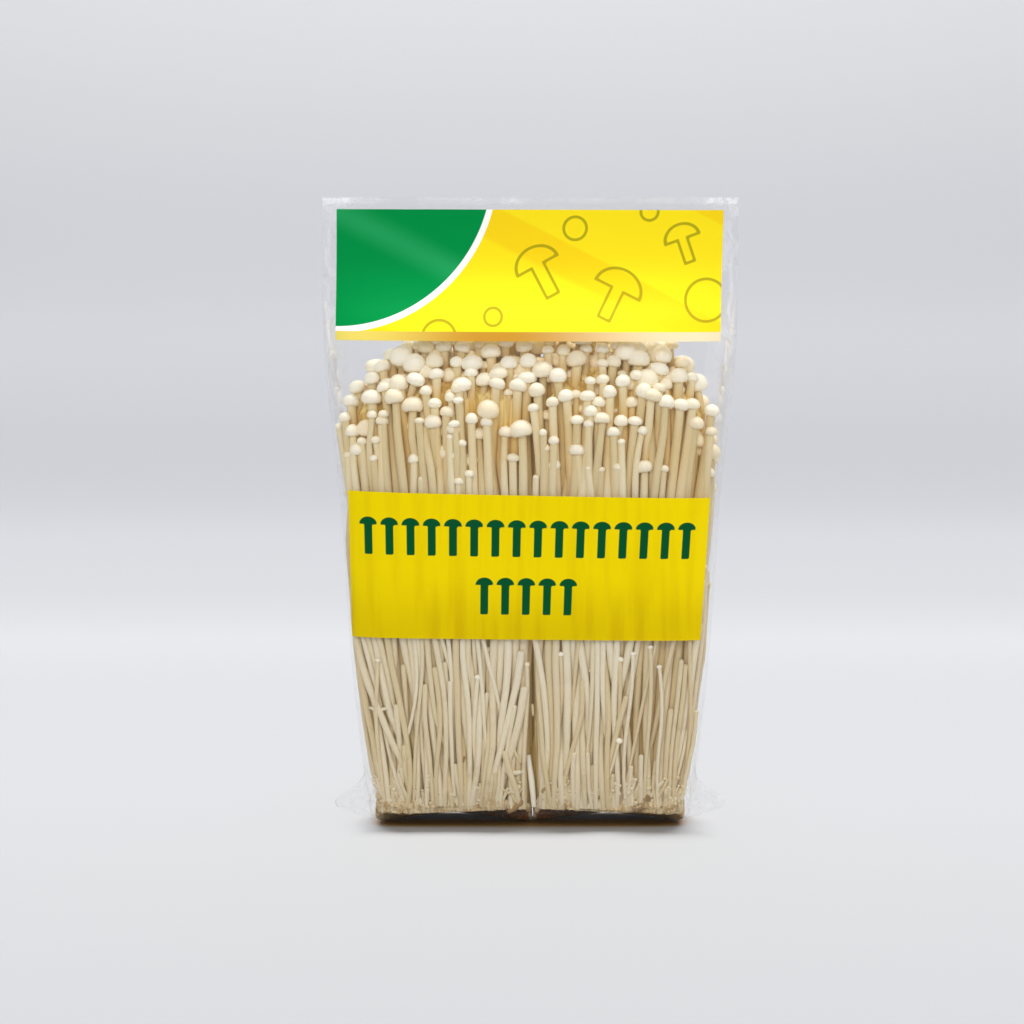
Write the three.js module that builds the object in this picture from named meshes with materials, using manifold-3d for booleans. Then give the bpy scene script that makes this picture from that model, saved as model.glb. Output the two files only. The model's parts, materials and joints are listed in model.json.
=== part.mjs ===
// A retail pack of enoki mushrooms: two clumps stand side by side in a clear film bag, which carries a
// header panel and a band label on its front. Millimetres, +Z up, the front faces -Y, and the origin is
// on the surface that the pack stands on, under its middle.
//
// Each clump is one natural body: a mat at the foot, a core of stems grown together, and the single
// mushrooms that stand out of both. The bag is a flat tube of film with a flat foot, two folded ears
// beside the foot and a mouth that is pressed flat.
import * as THREE from "three";
import { mergeVertices } from "three/addons/utils/BufferGeometryUtils.js";
import Module from "manifold-3d";

const wasm = await Module();
wasm.setup();

// ---- Driving dimensions ----

const BAG_HEIGHT = 187;
const CROWN_HEIGHT = 148; // tops of the tallest mushrooms
const FILM_WALL = 0.6; // the real film is 0.04
const FILM_EDGE = 0.95; // half the bag's thickness where the two panels lie flat on each other
const CLEARANCE = 1.7; // from the bag's outer face to the space that the mushrooms fill
const GAP = 0.3; // between pieces that lie on each other

// Knots [height, value] of the bag's outer face: half the width between its side folds, half the
// depth, and how square its section is (the exponent of a superellipse).
const BAG_HALF_WIDTH = [
  [0, 47.6], [24, 50.9], [50, 53.6], [75, 55.4], [100, 57.1], [121, 59.5], [145, 61.6], [187, 62],
];
const BAG_HALF_DEPTH = [
  [0, 14.8], [50, 16.6], [100, 18.8], [120, 19.9], [132, 18.6], [142, 15.2],
  [150, 10.8], [158, 5.6], [166, 2.2], [176, 1], [187, FILM_EDGE],
];
const BAG_SQUARENESS = [[0, 9], [50, 5.5], [100, 3.6], [120, 3.1], [187, 3]];
const BAG_LEVELS = [1.4, 4, 8, 14, 40, 70, 97, 118, 130, 140, 148, 155, 162, 171, BAG_HEIGHT];
const PANEL_STEPS = 12; // across one panel of film, fold to fold
const FOOT_INSET = 1.2; // how far the flat foot stays inside the bag's sides

const EAR_REACH = 10.5; // how far a folded corner stands out beside the foot
const EAR_MIDDLE = 5; // its height above the surface
const EAR_SPREAD = 5.2; // how gently it runs out above and below

// Where the two clumps meet: a seam that runs from front to back in a wave.
const SEAM_X = 0.8;
const SEAM_WAVE = 1.1;
const SEAM_WAVE_LENGTH = 26;
const SEAM_CLEARANCE = 0.35; // from the seam to the mushrooms on either side

// The foot of a clump.
const FOOT_GAP = 3; // between the two mats
const MAT_BOTTOM = FILM_WALL + GAP;
const MAT_TOP = 6.5;
const MAT_CORNER = 2.2;

// The core of grown-together stems: [height, distance from the outside, distance from the seam].
const CORE = [[MAT_TOP - 2, 3.3, 1.5], [50, 3.3, 0.5], [92, 3.8, 0.5], [108, 9, 6]];

// The crown: mushrooms on a staggered grid. Neighbours belong to three height classes, so that the
// caps of the tall, the middle and the low ones lie above each other.
const PITCH = 4.8;
const SHAKE = 0.5; // how far a mushroom stands from its grid point
const CROWN_START = 92; // their stems are lost in the core below
const CROWN_FALL_Y = 25; // how much lower the crown is at its front and back
const CROWN_FALL_X = 25; // and at its ends
const CLASS_DROP = [0, 6.5, 13]; // how much lower each class is
const HEIGHT_SPREAD = 2.6;
const CAP_RADIUS = [3.8, 3, 2.6];
const CAP_RADIUS_SPREAD = 0.25;
const STEM_RADIUS = [1.35, 1.3, 1.2];
const CAP_RISE = 1.3; // a cap's height as a share of its radius
const LEAN = 1.1; // how far a stem bows sideways
const SIDES = 5;
const SLIVER = 0.05; // the size of the slivers that are taken out after joining

// The wall: mushrooms round the outside of a clump, seen from foot to cap.
const WALL_COUNT = 29;
const WALL_BAND = 5.2; // from the outside to the crown's outermost stems
const END_ROUNDING = 1.6; // how far the wall's corners stand back from its outer end
const WALL_LOW = 104; // the heights of their caps
const WALL_HIGH = 127;
const WALL_FALL = 9; // how much lower they are at the outer end
const WALL_LEAN = 0.014; // sideways, as a share of the way round

// Pins: stunted mushrooms in front of the wall.
const PIN_COUNT = 12;
const PIN_RADIUS = 0.9;
const PIN_CAP = 1.5;
const PIN_LOW = 22;
const PIN_HIGH = 98;

// Corners [x, z] of the two printed panels, as seen from the front.
const PANEL_THICKNESS = 0.4;
const HEADER = [[-57.8, 145], [56.4, 144.6], [57.6, 183.3], [-57.6, 183.6]];
const BAND = [[-53, 57], [50.6, 56], [53.4, 98.4], [-54, 100.6]];

const STUB = { x: 0.9, y: -10.5, radius: 0.75, length: 15 };

// ---- Small tools ----

// The value at height z of a smooth curve through [height, value] knots.
function through(knots, z) {
  const last = knots.length - 1;
  const at = THREE.MathUtils.clamp(z, knots[0][0], knots[last][0]);
  let i = 0;
  while (i < last - 1 && at > knots[i + 1][0]) i += 1;
  const slope = (k) => {
    const [z0, v0] = knots[Math.max(k - 1, 0)];
    const [z1, v1] = knots[Math.min(k + 1, last)];
    return (v1 - v0) / (z1 - z0);
  };
  const [za, va] = knots[i];
  const [zb, vb] = knots[i + 1];
  const span = zb - za;
  const t = (at - za) / span;
  return (
    va * (1 + 2 * t) * (1 - t) ** 2 + slope(i) * span * t * (1 - t) ** 2 +
    vb * t * t * (3 - 2 * t) + slope(i + 1) * span * t * t * (t - 1)
  );
}

// Repeatable random numbers from 0 to 1.
function randomStream(seed) {
  let state = seed;
  return () => {
    state = (Math.imul(state, 1664525) + 1013904223) >>> 0;
    return state / 4294967296;
  };
}

// How deep a superellipse section still is at share u of its half width, from 1 in the middle to 0.
const fullness = (u, squareness) => Math.max(0, 1 - Math.abs(u) ** squareness) ** (1 / squareness);

// A closed geometry as a manifold-3d solid.
function solidFrom(geometry) {
  const bare = geometry.clone();
  bare.deleteAttribute("normal");
  bare.deleteAttribute("uv");
  const merged = mergeVertices(bare, 1e-4);
  const index = merged.index.array;
  const triVerts = [];
  for (let i = 0; i < index.length; i += 3) {
    const [a, b, c] = [index[i], index[i + 1], index[i + 2]];
    if (a !== b && b !== c && c !== a) triVerts.push(a, b, c);
  }
  const vertProperties = new Float32Array(merged.attributes.position.array);
  const mesh = new wasm.Mesh({ numProp: 3, vertProperties, triVerts: new Uint32Array(triVerts) });
  return new wasm.Manifold(mesh);
}

// The largest body of a solid, without its sealed hollows and loose scraps.
const mainBody = (solid) => solid.decompose().sort((a, b) => b.volume() - a.volume())[0];

function geometryFrom(solid) {
  const mesh = solid.getMesh();
  const geometry = new THREE.BufferGeometry();
  geometry.setAttribute("position", new THREE.BufferAttribute(new Float32Array(mesh.vertProperties), 3));
  geometry.setIndex(new THREE.BufferAttribute(new Uint32Array(mesh.triVerts), 1));
  geometry.computeVertexNormals();
  return geometry;
}

// A closed skin over rings of the same number of points, with a flat strip across the first and last
// ring. Each ring runs once round, and its second half mirrors its first.
function skinOver(rings) {
  const count = rings[0].length;
  const positions = rings.flat().flatMap((p) => [p.x, p.y, p.z]);
  const index = [];
  for (let k = 0; k + 1 < rings.length; k += 1) {
    for (let i = 0; i < count; i += 1) {
      const a = k * count + i;
      const b = k * count + ((i + 1) % count);
      index.push(a, b, b + count, a, b + count, a + count);
    }
  }
  const half = count / 2;
  const top = (rings.length - 1) * count;
  for (let i = 0; i + 1 < half; i += 1) {
    const [a, b, c, d] = [i, i + 1, count - 2 - i, count - 1 - i];
    index.push(a, c, b, a, d, c);
    index.push(top + a, top + b, top + c, top + a, top + c, top + d);
  }
  const geometry = new THREE.BufferGeometry();
  geometry.setAttribute("position", new THREE.Float32BufferAttribute(positions, 3));
  geometry.setIndex(index);
  return geometry;
}

// ---- The film bag ----

// How far the folded corners stand out at height z.
const earAt = (z) => EAR_REACH * Math.exp(-(((z - EAR_MIDDLE) / EAR_SPREAD) ** 2));

// Where the facets of one panel meet, from -1 at its left fold to 1 at its right fold.
const facetEdge = (i) => Math.sin(((2 * i) / PANEL_STEPS - 1) * (Math.PI / 2));

// Half the bag's depth on its outer face, at x and height z. The face is flat between two edges.
function bagDepth(x, z) {
  const u = Math.min(Math.abs(x) / through(BAG_HALF_WIDTH, z), 1);
  let i = PANEL_STEPS / 2;
  while (i + 1 < PANEL_STEPS && facetEdge(i + 1) < u) i += 1;
  const [near, far] = [facetEdge(i), facetEdge(i + 1)];
  const squareness = through(BAG_SQUARENESS, z);
  const ends = [fullness(near, squareness), fullness(far, squareness)];
  const full = THREE.MathUtils.lerp(ends[0], ends[1], (u - near) / (far - near));
  return FILM_EDGE + (through(BAG_HALF_DEPTH, z) - FILM_EDGE) * full;
}

// One ring round the bag at height z: its front from left to right, then its back. Every point is
// moved inwards by inset, square to the two sides that meet in it.
function bagRing(z, inset, height = z) {
  const side = through(BAG_HALF_WIDTH, z);
  const front = [];
  for (let i = 0; i <= PANEL_STEPS; i += 1) {
    const u = facetEdge(i);
    const x = Math.abs(u) < 1 ? u * side : u * (side + earAt(z));
    front.push(new THREE.Vector2(x, -bagDepth(x, z)));
  }
  const ring = [...front, ...front.map((p) => new THREE.Vector2(p.x, -p.y)).reverse()];
  const outward = ring.map((p, i) => {
    const next = ring[(i + 1) % ring.length];
    return new THREE.Vector2(next.y - p.y, p.x - next.x).normalize();
  });
  return ring.map((p, i) => {
    const before = outward[(i + ring.length - 1) % ring.length];
    const corner = before.clone().add(outward[i]).divideScalar(1 + before.dot(outward[i]));
    return new THREE.Vector3(p.x - corner.x * inset, p.y - corner.y * inset, height);
  });
}

// The block inside the bag's outer face, taken in by inset, or grown where inset is negative.
function bagBlock(inset, bottom, top) {
  const levels = BAG_LEVELS.slice(0, -1);
  return solidFrom(skinOver([
    bagRing(0, FOOT_INSET + inset, bottom),
    ...levels.map((z) => bagRing(z, inset)),
    bagRing(BAG_HEIGHT, inset, top),
  ]));
}

function filmBag() {
  const pastMouth = BAG_HEIGHT + 1; // the hollow runs out through the mouth
  return geometryFrom(bagBlock(0, 0, BAG_HEIGHT).subtract(bagBlock(FILM_WALL, FILM_WALL, pastMouth)));
}

// A thin panel that lies on the front of the bag.
function frontPanel(corners) {
  const outline = new THREE.Shape(corners.map(([x, z]) => new THREE.Vector2(x, z)));
  const prism = new THREE.ExtrudeGeometry(outline, { depth: 2 * BAG_HEIGHT, bevelEnabled: false });
  prism.rotateX(Math.PI / 2); // the outline stands upright, and the prism runs to the front
  const sheet = bagBlock(-GAP - PANEL_THICKNESS, 0, BAG_HEIGHT).subtract(bagBlock(-GAP, -1, BAG_HEIGHT + 1));
  return geometryFrom(mainBody(sheet.intersect(solidFrom(prism))));
}

// ---- The clumps ----

const seamAt = (y) => SEAM_X + SEAM_WAVE * Math.sin((2 * Math.PI * y) / SEAM_WAVE_LENGTH);

const roomWidth = (z) => through(BAG_HALF_WIDTH, z) - CLEARANCE;
const roomDepth = (x, z) => Math.max(0, bagDepth(x, z) - CLEARANCE);

// The crown's height over the place (x, y).
function crownAt(x, y) {
  const u = Math.abs(x) / roomWidth(120);
  const v = Math.abs(y) / (through(BAG_HALF_DEPTH, 120) - CLEARANCE);
  return CROWN_HEIGHT - CROWN_FALL_Y * v ** 2.2 - CROWN_FALL_X * u ** 5;
}

// Curve round the outside of a clump at height z, this far inside it: from the seam along the front,
// round the outer end and back to the seam.
function wayRound(side, z, inset) {
  const end = roomWidth(z) - inset;
  const start = SEAM_X + side * (inset + SEAM_CLEARANCE);
  const front = [];
  for (let i = 0; i <= 8; i += 1) {
    const x = THREE.MathUtils.lerp(start, side * (end - END_ROUNDING), Math.sin((i / 8) * (Math.PI / 2)));
    front.push(new THREE.Vector3(x, Math.min(0, inset - roomDepth(x, z)), z));
  }
  const back = front.map((p) => new THREE.Vector3(p.x, -p.y, p.z)).reverse();
  const points = [...front, new THREE.Vector3(side * end, 0, z), ...back];
  return new THREE.CatmullRomCurve3(points, false, "catmullrom", 0);
}

// The line of a mushroom that stands at a share of the way round and ends at a height.
function standingAt(side, share, lean, height, inset) {
  const place = (z, at, within) => wayRound(side, z, within).getPointAt(THREE.MathUtils.clamp(at, 0, 1));
  const root = place(MAT_TOP, share - lean, inset.stem).setZ(MAT_TOP - 2);
  const middle = place(height / 2, share - lean * 0.2, inset.stem);
  const tip = place(height, share + lean, inset.cap);
  const pull = middle.multiplyScalar(2).addScaledVector(root, -0.5).addScaledVector(tip, -0.5);
  return new THREE.QuadraticBezierCurve3(root, pull, tip);
}

function crownMushrooms(side) {
  const random = randomStream(side < 0 ? 20417 : 90731);
  const spread = (size) => (random() * 2 - 1) * size;
  const mushrooms = [];
  for (let row = -5; row <= 5; row += 1) {
    for (let column = 0; column < 14; column += 1) {
      const kind = (((column - row) % 3) + 3) % 3;
      const capRadius = CAP_RADIUS[kind] + spread(CAP_RADIUS_SPREAD);
      const step = column + 0.5 + (row & 1 ? 0.5 : 0);
      const x = SEAM_X + side * step * PITCH + spread(SHAKE);
      const y = row * PITCH * Math.sqrt(0.75) + spread(SHAKE);
      const top = crownAt(x, y) - CLASS_DROP[kind] + spread(HEIGHT_SPREAD);
      const bow = new THREE.Vector3(spread(LEAN), spread(LEAN), 0);
      const turn = spread(Math.PI);
      const taken = Math.max(capRadius, WALL_BAND);
      const fits =
        side * (x - seamAt(y)) > capRadius + SEAM_CLEARANCE &&
        Math.abs(x) + taken < roomWidth(top) &&
        Math.abs(y) + taken < roomDepth(Math.abs(x) + capRadius * 0.5, top - capRadius);
      if (!fits) continue;
      const tip = new THREE.Vector3(x, y, top - CAP_RISE * capRadius);
      const start = new THREE.Vector3(x * 0.96, y * 0.96, CROWN_START).addScaledVector(bow, -0.5);
      const line = new THREE.QuadraticBezierCurve3(start, start.clone().lerp(tip, 0.5).add(bow), tip);
      mushrooms.push({ line, steps: 1, turn, capRadius, stemRadius: STEM_RADIUS[kind] });
    }
  }
  return mushrooms;
}

function wallMushrooms(side) {
  const random = randomStream(side < 0 ? 31189 : 61211);
  const mushrooms = [];
  for (let i = 0; i < WALL_COUNT; i += 1) {
    const share = (i + 0.25 + 0.5 * random()) / WALL_COUNT;
    const kind = i % 3;
    const capRadius = CAP_RADIUS[kind] * (0.8 + 0.15 * random());
    const level = (((i * 2) % 5) + random()) / 5;
    const fall = WALL_FALL * Math.sin(share * Math.PI) ** 4;
    const height = THREE.MathUtils.lerp(WALL_LOW, WALL_HIGH, level) - fall;
    const lean = (random() * 2 - 1) * WALL_LEAN;
    const line = standingAt(side, share, lean, height, { stem: STEM_RADIUS[kind], cap: capRadius });
    mushrooms.push({ line, steps: 3, turn: random() * 3, capRadius, stemRadius: STEM_RADIUS[kind] });
  }
  return mushrooms;
}

function pins(side) {
  const random = randomStream(side < 0 ? 5519 : 7103);
  return Array.from({ length: PIN_COUNT }, (_, i) => {
    const share = (i + 0.2 + 0.6 * random()) / PIN_COUNT;
    const height = THREE.MathUtils.lerp(PIN_LOW, PIN_HIGH, random());
    const lean = (random() * 2 - 1) * WALL_LEAN;
    const line = standingAt(side, share, lean, height, { stem: PIN_RADIUS * 0.5, cap: PIN_CAP });
    return { line, steps: 2, turn: random() * 3, capRadius: PIN_CAP, stemRadius: PIN_RADIUS };
  });
}

// One mushroom: a lathed stem and cap, bent along its line.
function mushroomBody({ line, steps, turn, capRadius, stemRadius }) {
  const capHeight = CAP_RISE * capRadius;
  const profile = [new THREE.Vector2(0, 0)];
  for (let i = 0; i <= steps; i += 1) profile.push(new THREE.Vector2(stemRadius, i / steps));
  profile.push(new THREE.Vector2(capRadius, 1 + 0.16 * capHeight));
  profile.push(new THREE.Vector2(capRadius * 0.78, 1 + 0.72 * capHeight));
  profile.push(new THREE.Vector2(0, 1 + capHeight));
  // Below 1 the profile's height is a share of the stem's length, and above it millimetres of cap.
  const body = new THREE.LatheGeometry(profile, SIDES).rotateY(turn);
  const place = body.attributes.position;
  const across = new THREE.Vector3();
  const other = new THREE.Vector3();
  for (let i = 0; i < place.count; i += 1) {
    const share = Math.min(place.getY(i), 1);
    const along = line.getTangent(share);
    across.set(1, 0, 0).addScaledVector(along, -along.x).normalize();
    other.crossVectors(along, across);
    const point = line.getPoint(share)
      .addScaledVector(along, place.getY(i) - share)
      .addScaledVector(across, place.getX(i))
      .addScaledVector(other, -place.getZ(i));
    place.setXYZ(i, point.x, point.y, point.z);
  }
  return solidFrom(body);
}

// The outline of one clump's solid part at height z, this far inside the outside and the seam.
function clumpRing(side, z, inset, seamInset) {
  const seam = SEAM_X + side * seamInset;
  const end = side * (roomWidth(z) - inset);
  const front = [0, 0.06, 0.5, 0.9, 1].map((share, i) => {
    const corner = i === 0 || i === 4 ? MAT_CORNER : 0;
    const x = THREE.MathUtils.lerp(seam, end, share);
    return new THREE.Vector3(x, inset + corner - roomDepth(x * 0.96, z), z);
  });
  if (side < 0) front.reverse();
  return [...front, ...front.map((p) => new THREE.Vector3(p.x, -p.y, p.z)).reverse()];
}

function clump(side) {
  const mat = skinOver([
    clumpRing(side, MAT_BOTTOM, 0.5, FOOT_GAP / 2 + 0.5),
    clumpRing(side, MAT_BOTTOM + 2, 0, FOOT_GAP / 2),
    clumpRing(side, MAT_TOP, 0.4, FOOT_GAP / 2 + 0.4),
  ]);
  const core = skinOver(CORE.map(([z, inset, seamInset]) => clumpRing(side, z, inset, seamInset)));
  const bodies = [...crownMushrooms(side), ...wallMushrooms(side), ...pins(side)].map(mushroomBody);
  const joined = wasm.Manifold.union([solidFrom(mat), solidFrom(core), ...bodies]);
  return geometryFrom(mainBody(joined).simplify(SLIVER));
}

// A broken piece of stem that has dropped between the two mats.
function looseStub() {
  const { x, y, radius, length } = STUB;
  const stub = new THREE.CapsuleGeometry(radius, length - 2 * radius, 2, 7).rotateX(Math.PI / 2);
  return stub.translate(x, y, FILM_WALL + GAP + length / 2);
}

// ---- The pack ----

function finish(color, roughness, more = {}) {
  return new THREE.MeshStandardMaterial({ color, roughness, metalness: 0, ...more });
}

const mushroomFinish = finish("#f1e7cf", 0.6);
const filmFinish = finish("#eef2f4", 0.12, { transparent: true, opacity: 0.22 });
const headerFinish = finish("#f8dc1c", 0.35);
const bandFinish = finish("#e3cb0a", 0.4);

function piece(name, geometry, material) {
  const mesh = new THREE.Mesh(geometry, material);
  mesh.name = name;
  return mesh;
}

const pack = new THREE.Group();
pack.name = "enoki_pack";
pack.add(
  piece("clump_left", clump(-1), mushroomFinish),
  piece("clump_right", clump(1), mushroomFinish),
  piece("loose_stub", looseStub(), mushroomFinish),
  piece("film_bag", filmBag(), filmFinish),
  piece("header_panel", frontPanel(HEADER), headerFinish),
  piece("band_label", frontPanel(BAND), bandFinish),
);

export default pack;
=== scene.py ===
# %% [markdown]
# # A pack of enoki mushrooms
#
# Two clumps of long pale mushrooms stand side by side in a clear bag. The bag carries a printed header
# and a printed band. This notebook dresses the plain solids of the pack: it grows fine mushrooms along
# the same lines, lays a thin creased film round them, and prints the two panels.

# %% Load the fixed frame
import json
import math

import bpy
import numpy as np
from mathutils import Euler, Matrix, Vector, noise

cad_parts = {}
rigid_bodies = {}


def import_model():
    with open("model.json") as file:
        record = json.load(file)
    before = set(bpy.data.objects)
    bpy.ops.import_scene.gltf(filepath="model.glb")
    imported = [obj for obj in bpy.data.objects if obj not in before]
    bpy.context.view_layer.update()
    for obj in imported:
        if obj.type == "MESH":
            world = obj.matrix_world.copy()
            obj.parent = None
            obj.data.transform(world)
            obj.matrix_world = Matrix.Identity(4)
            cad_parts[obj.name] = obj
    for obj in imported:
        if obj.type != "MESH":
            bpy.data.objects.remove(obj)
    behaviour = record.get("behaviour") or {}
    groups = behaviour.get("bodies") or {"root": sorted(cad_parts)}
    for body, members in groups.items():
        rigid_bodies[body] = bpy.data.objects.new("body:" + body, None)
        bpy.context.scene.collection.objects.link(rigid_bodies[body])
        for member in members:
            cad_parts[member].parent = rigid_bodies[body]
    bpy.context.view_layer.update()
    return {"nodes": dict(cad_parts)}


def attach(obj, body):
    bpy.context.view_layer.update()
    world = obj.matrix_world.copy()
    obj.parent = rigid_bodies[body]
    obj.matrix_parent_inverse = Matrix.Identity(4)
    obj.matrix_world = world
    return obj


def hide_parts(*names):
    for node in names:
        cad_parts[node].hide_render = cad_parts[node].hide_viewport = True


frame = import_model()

MM = 0.001
print("nodes:", sorted(frame["nodes"]))

# %% [markdown]
# ## Small tools
#
# The shapes below are worked out in millimetres and scaled to metres when a mesh is made. Most sizes
# change with height, so they are kept as knots of height and value with a smooth line through them.
# Random numbers come from a plain linear congruential generator. Blender has random nodes of its own,
# but they would grow other mushrooms than those of the solids.

# %% Curves through knots


def through(knots, z):
    """The value at height z, or at each of many heights, of a smooth curve through the knots."""
    heights, values = np.array(knots, float).T
    before = np.maximum(np.arange(len(heights)) - 1, 0)
    after = np.minimum(np.arange(len(heights)) + 1, len(heights) - 1)
    slopes = (values[after] - values[before]) / (heights[after] - heights[before])
    z = np.clip(np.asarray(z, float), heights[0], heights[-1])
    i = np.clip(np.searchsorted(heights, z, side="right") - 1, 0, len(heights) - 2)
    span = heights[i + 1] - heights[i]
    t = (z - heights[i]) / span
    rise = values[i] * (1 + 2 * t) * (1 - t) ** 2 + values[i + 1] * t * t * (3 - 2 * t)
    return rise + span * (slopes[i] * t * (1 - t) ** 2 + slopes[i + 1] * t * t * (t - 1))


print("a curve from 0 to 10, a quarter of the way up:", float(through([(0, 0), (1, 10)], 0.25)))

# %% Random numbers and soft steps


def random_stream(seed):
    """Repeatable random numbers from 0 to 1."""
    state = seed

    def draw():
        nonlocal state
        state = (state * 1664525 + 1013904223) % 2**32
        return state / 2**32

    return draw


def between(ends, share):
    """The value at a share of the way from one end to the other."""
    return ends[0] + (ends[1] - ends[0]) * share


def smoothstep(value, low, high):
    """A soft step from 0 at the low value to 1 at the high one."""
    t = np.clip((value - low) / (high - low), 0, 1)
    return t * t * (3 - 2 * t)


sample = random_stream(1)
print("the first draws of a stream:", [round(sample(), 3) for _ in range(3)])

# %% Meshes and the numbers they keep


def mesh_piece(name, points, faces=(), edges=(), smooth=True):
    """A new object from points in millimetres."""
    mesh = bpy.data.meshes.new(name)
    mesh.from_pydata((np.asarray(points, float) * MM).tolist(), list(edges), list(faces))
    mesh.update()
    if smooth:
        mesh.shade_smooth()
    piece = bpy.data.objects.new(name, mesh)
    bpy.context.scene.collection.objects.link(piece)
    return piece


def store(piece, name, kind, values):
    """Keeps one number or one vector for each point of a piece."""
    layer = piece.data.attributes.new(name, kind, "POINT")
    field = "vector" if kind == "FLOAT_VECTOR" else "value"
    layer.data.foreach_set(field, np.asarray(values, float).ravel().astype(np.float32))


def ring_faces(rings, around):
    """The faces between closed rings of points that follow on each other."""
    faces = []
    for k in range(rings - 1):
        for i in range(around):
            a, b = k * around + i, k * around + (i + 1) % around
            faces.append((a, b, b + around, a + around))
    return faces


print("faces between three rings of four points:", len(ring_faces(3, 4)))

# %% [markdown]
# ## The bag's shape
#
# The bag is a flat tube of film. Its section is a superellipse between two side folds: nearly a
# rectangle at the foot, where it wraps the square root mats, and two films pressed flat at the top.
# It could be draped as cloth, but a formula gives the depth at any place, and the mushrooms, the film
# and the prints all need that one surface.

# %% The bag's outer face, in millimetres
BAG_HEIGHT = 187
FILM_EDGE = 0.95
HALF_WIDTH = [(0, 47.6), (24, 50.9), (50, 53.6), (75, 55.4), (100, 57.1), (121, 59.5)]
HALF_WIDTH += [(145, 61.6), (BAG_HEIGHT, 62)]
HALF_DEPTH = [(0, 14.8), (50, 16.6), (100, 18.8), (120, 19.9), (132, 18.6), (142, 15.2)]
HALF_DEPTH += [(150, 10.8), (158, 5.6), (166, 2.2), (176, 1), (BAG_HEIGHT, FILM_EDGE)]
SQUARENESS = [(0, 9), (50, 5.5), (100, 3.6), (120, 3.1), (BAG_HEIGHT, 3)]
EAR_REACH = 10.5
EAR_MIDDLE = 5
EAR_SPREAD = 5.2


def bag_depth(x, z):
    """Half the bag's depth at x and height z."""
    u = np.abs(x) / through(HALF_WIDTH, z)
    square = through(SQUARENESS, z)
    full = np.maximum(0, 1 - np.minimum(u, 1) ** square) ** (1 / square)
    return FILM_EDGE + (through(HALF_DEPTH, z) - FILM_EDGE) * full


def ear(z):
    """How far the folded corners stand out at height z."""
    return EAR_REACH * np.exp(-(((z - EAR_MIDDLE) / EAR_SPREAD) ** 2))


print("half depth of the bag at mid height:", round(float(bag_depth(0, 90)), 1), "mm")

# %% [markdown]
# ## Where the mushrooms stand
#
# The mushrooms stand inside the film, and where the two clumps meet there is a wavy seam. The crown is
# highest in the middle and falls to all sides. The solids follow the same few rules, so the fine
# mushrooms can be grown here from the same numbers. They could also be scattered on the solids' faces,
# but then they would keep neither their heights nor their gaps.

# %% Room inside the film
CROWN_HEIGHT = 148
CROWN_FALL_Y = 25
CROWN_FALL_X = 25
WIDEST_AT = 120
CLEARANCE = 1.7
SEAM_X = 0.8
SEAM_WAVE = 1.1
SEAM_WAVE_LENGTH = 26


def seam_at(y):
    """The seam's place across, at a place y between the front and the back."""
    return SEAM_X + SEAM_WAVE * math.sin(2 * math.pi * y / SEAM_WAVE_LENGTH)


def room_width(z):
    """Half the width that the mushrooms have at height z."""
    return through(HALF_WIDTH, z) - CLEARANCE


def room_depth(x, z):
    """Half the depth that they have at x and height z."""
    return np.maximum(0, bag_depth(x, z) - CLEARANCE)


def crown_at(x, y):
    """The crown's height over the place (x, y)."""
    u = abs(x) / room_width(WIDEST_AT)
    v = abs(y) / (through(HALF_DEPTH, WIDEST_AT) - CLEARANCE)
    return CROWN_HEIGHT - CROWN_FALL_Y * v**2.2 - CROWN_FALL_X * u**5


print("the crown's height in the middle and near an end:", crown_at(0, 0), round(float(crown_at(50, 0)), 1))

# %% [markdown]
# ## Walking round a clump
#
# The outer mushrooms of a real clump stand in rows along its skin. To set them there, a path is walked
# along the front, the outer end and the back of a clump, and a share from 0 to 1 gives a place on it.
# Each stem also has to come down to the root mat, where the clump is narrower.

# %% Places round a clump and under it
SEAM_CLEARANCE = 0.35
END_ROUNDING = 1.6
FOOT_GAP = 3
MAT_BOTTOM = 0.9
MAT_TOP = 6.5


def way_round(side, z, inset, share):
    """The place at a share of the way round a clump: along its front, its outer end and its back."""
    end = room_width(z) - inset
    start = SEAM_X + side * (inset + SEAM_CLEARANCE)
    reach = np.sin(np.linspace(0, math.pi / 2, 9))
    x = start + (side * (end - END_ROUNDING) - start) * reach
    y = np.minimum(0, inset - room_depth(x, z))
    x = np.concatenate([x, [side * end], x[::-1]])
    y = np.concatenate([y, [0], -y[::-1]])
    walked = np.concatenate([[0], np.cumsum(np.hypot(np.diff(x), np.diff(y)))])
    at = np.clip(share, 0, 1) * walked[-1]
    return np.array([np.interp(at, walked, x), np.interp(at, walked, y)])


def root_under(side, x, y, z):
    """Carries a place at height z down to the foot, where a clump is narrower."""
    along = (x - SEAM_X) / (side * room_width(z) - SEAM_X)
    foot_seam = SEAM_X + side * (FOOT_GAP / 2 + 1)
    root_x = foot_seam + (side * (room_width(MAT_TOP) - 1.5) - foot_seam) * np.clip(along, 0, 1)
    root_y = y / max(float(room_depth(x, z)), 1) * float(room_depth(root_x, MAT_TOP))
    return np.array([root_x, root_y])


print("halfway round the left clump, 60 mm up:", way_round(-1, 60, 1, 0.5).round(1))

# %% [markdown]
# ## The crown
#
# From above, a bunch of enoki is a close pack of round caps. A staggered grid of tall, middle and low
# mushrooms gives that pack, and a small shake takes away its straight rows.

# %% The crown's grid
PITCH = 4.8
SHAKE = 0.5
CLASS_DROP = [0, 6.5, 13]
HEIGHT_SPREAD = 2.6
CAP_RADIUS = [3.8, 3, 2.6]
CAP_RADIUS_SPREAD = 0.25
CAP_RISE = 1.3
STEM_RADIUS = [1.35, 1.3, 1.2]
STEM_START = MAT_TOP - 1.4
LEAN = 1.1
WALL_BAND = 5.2


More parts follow.
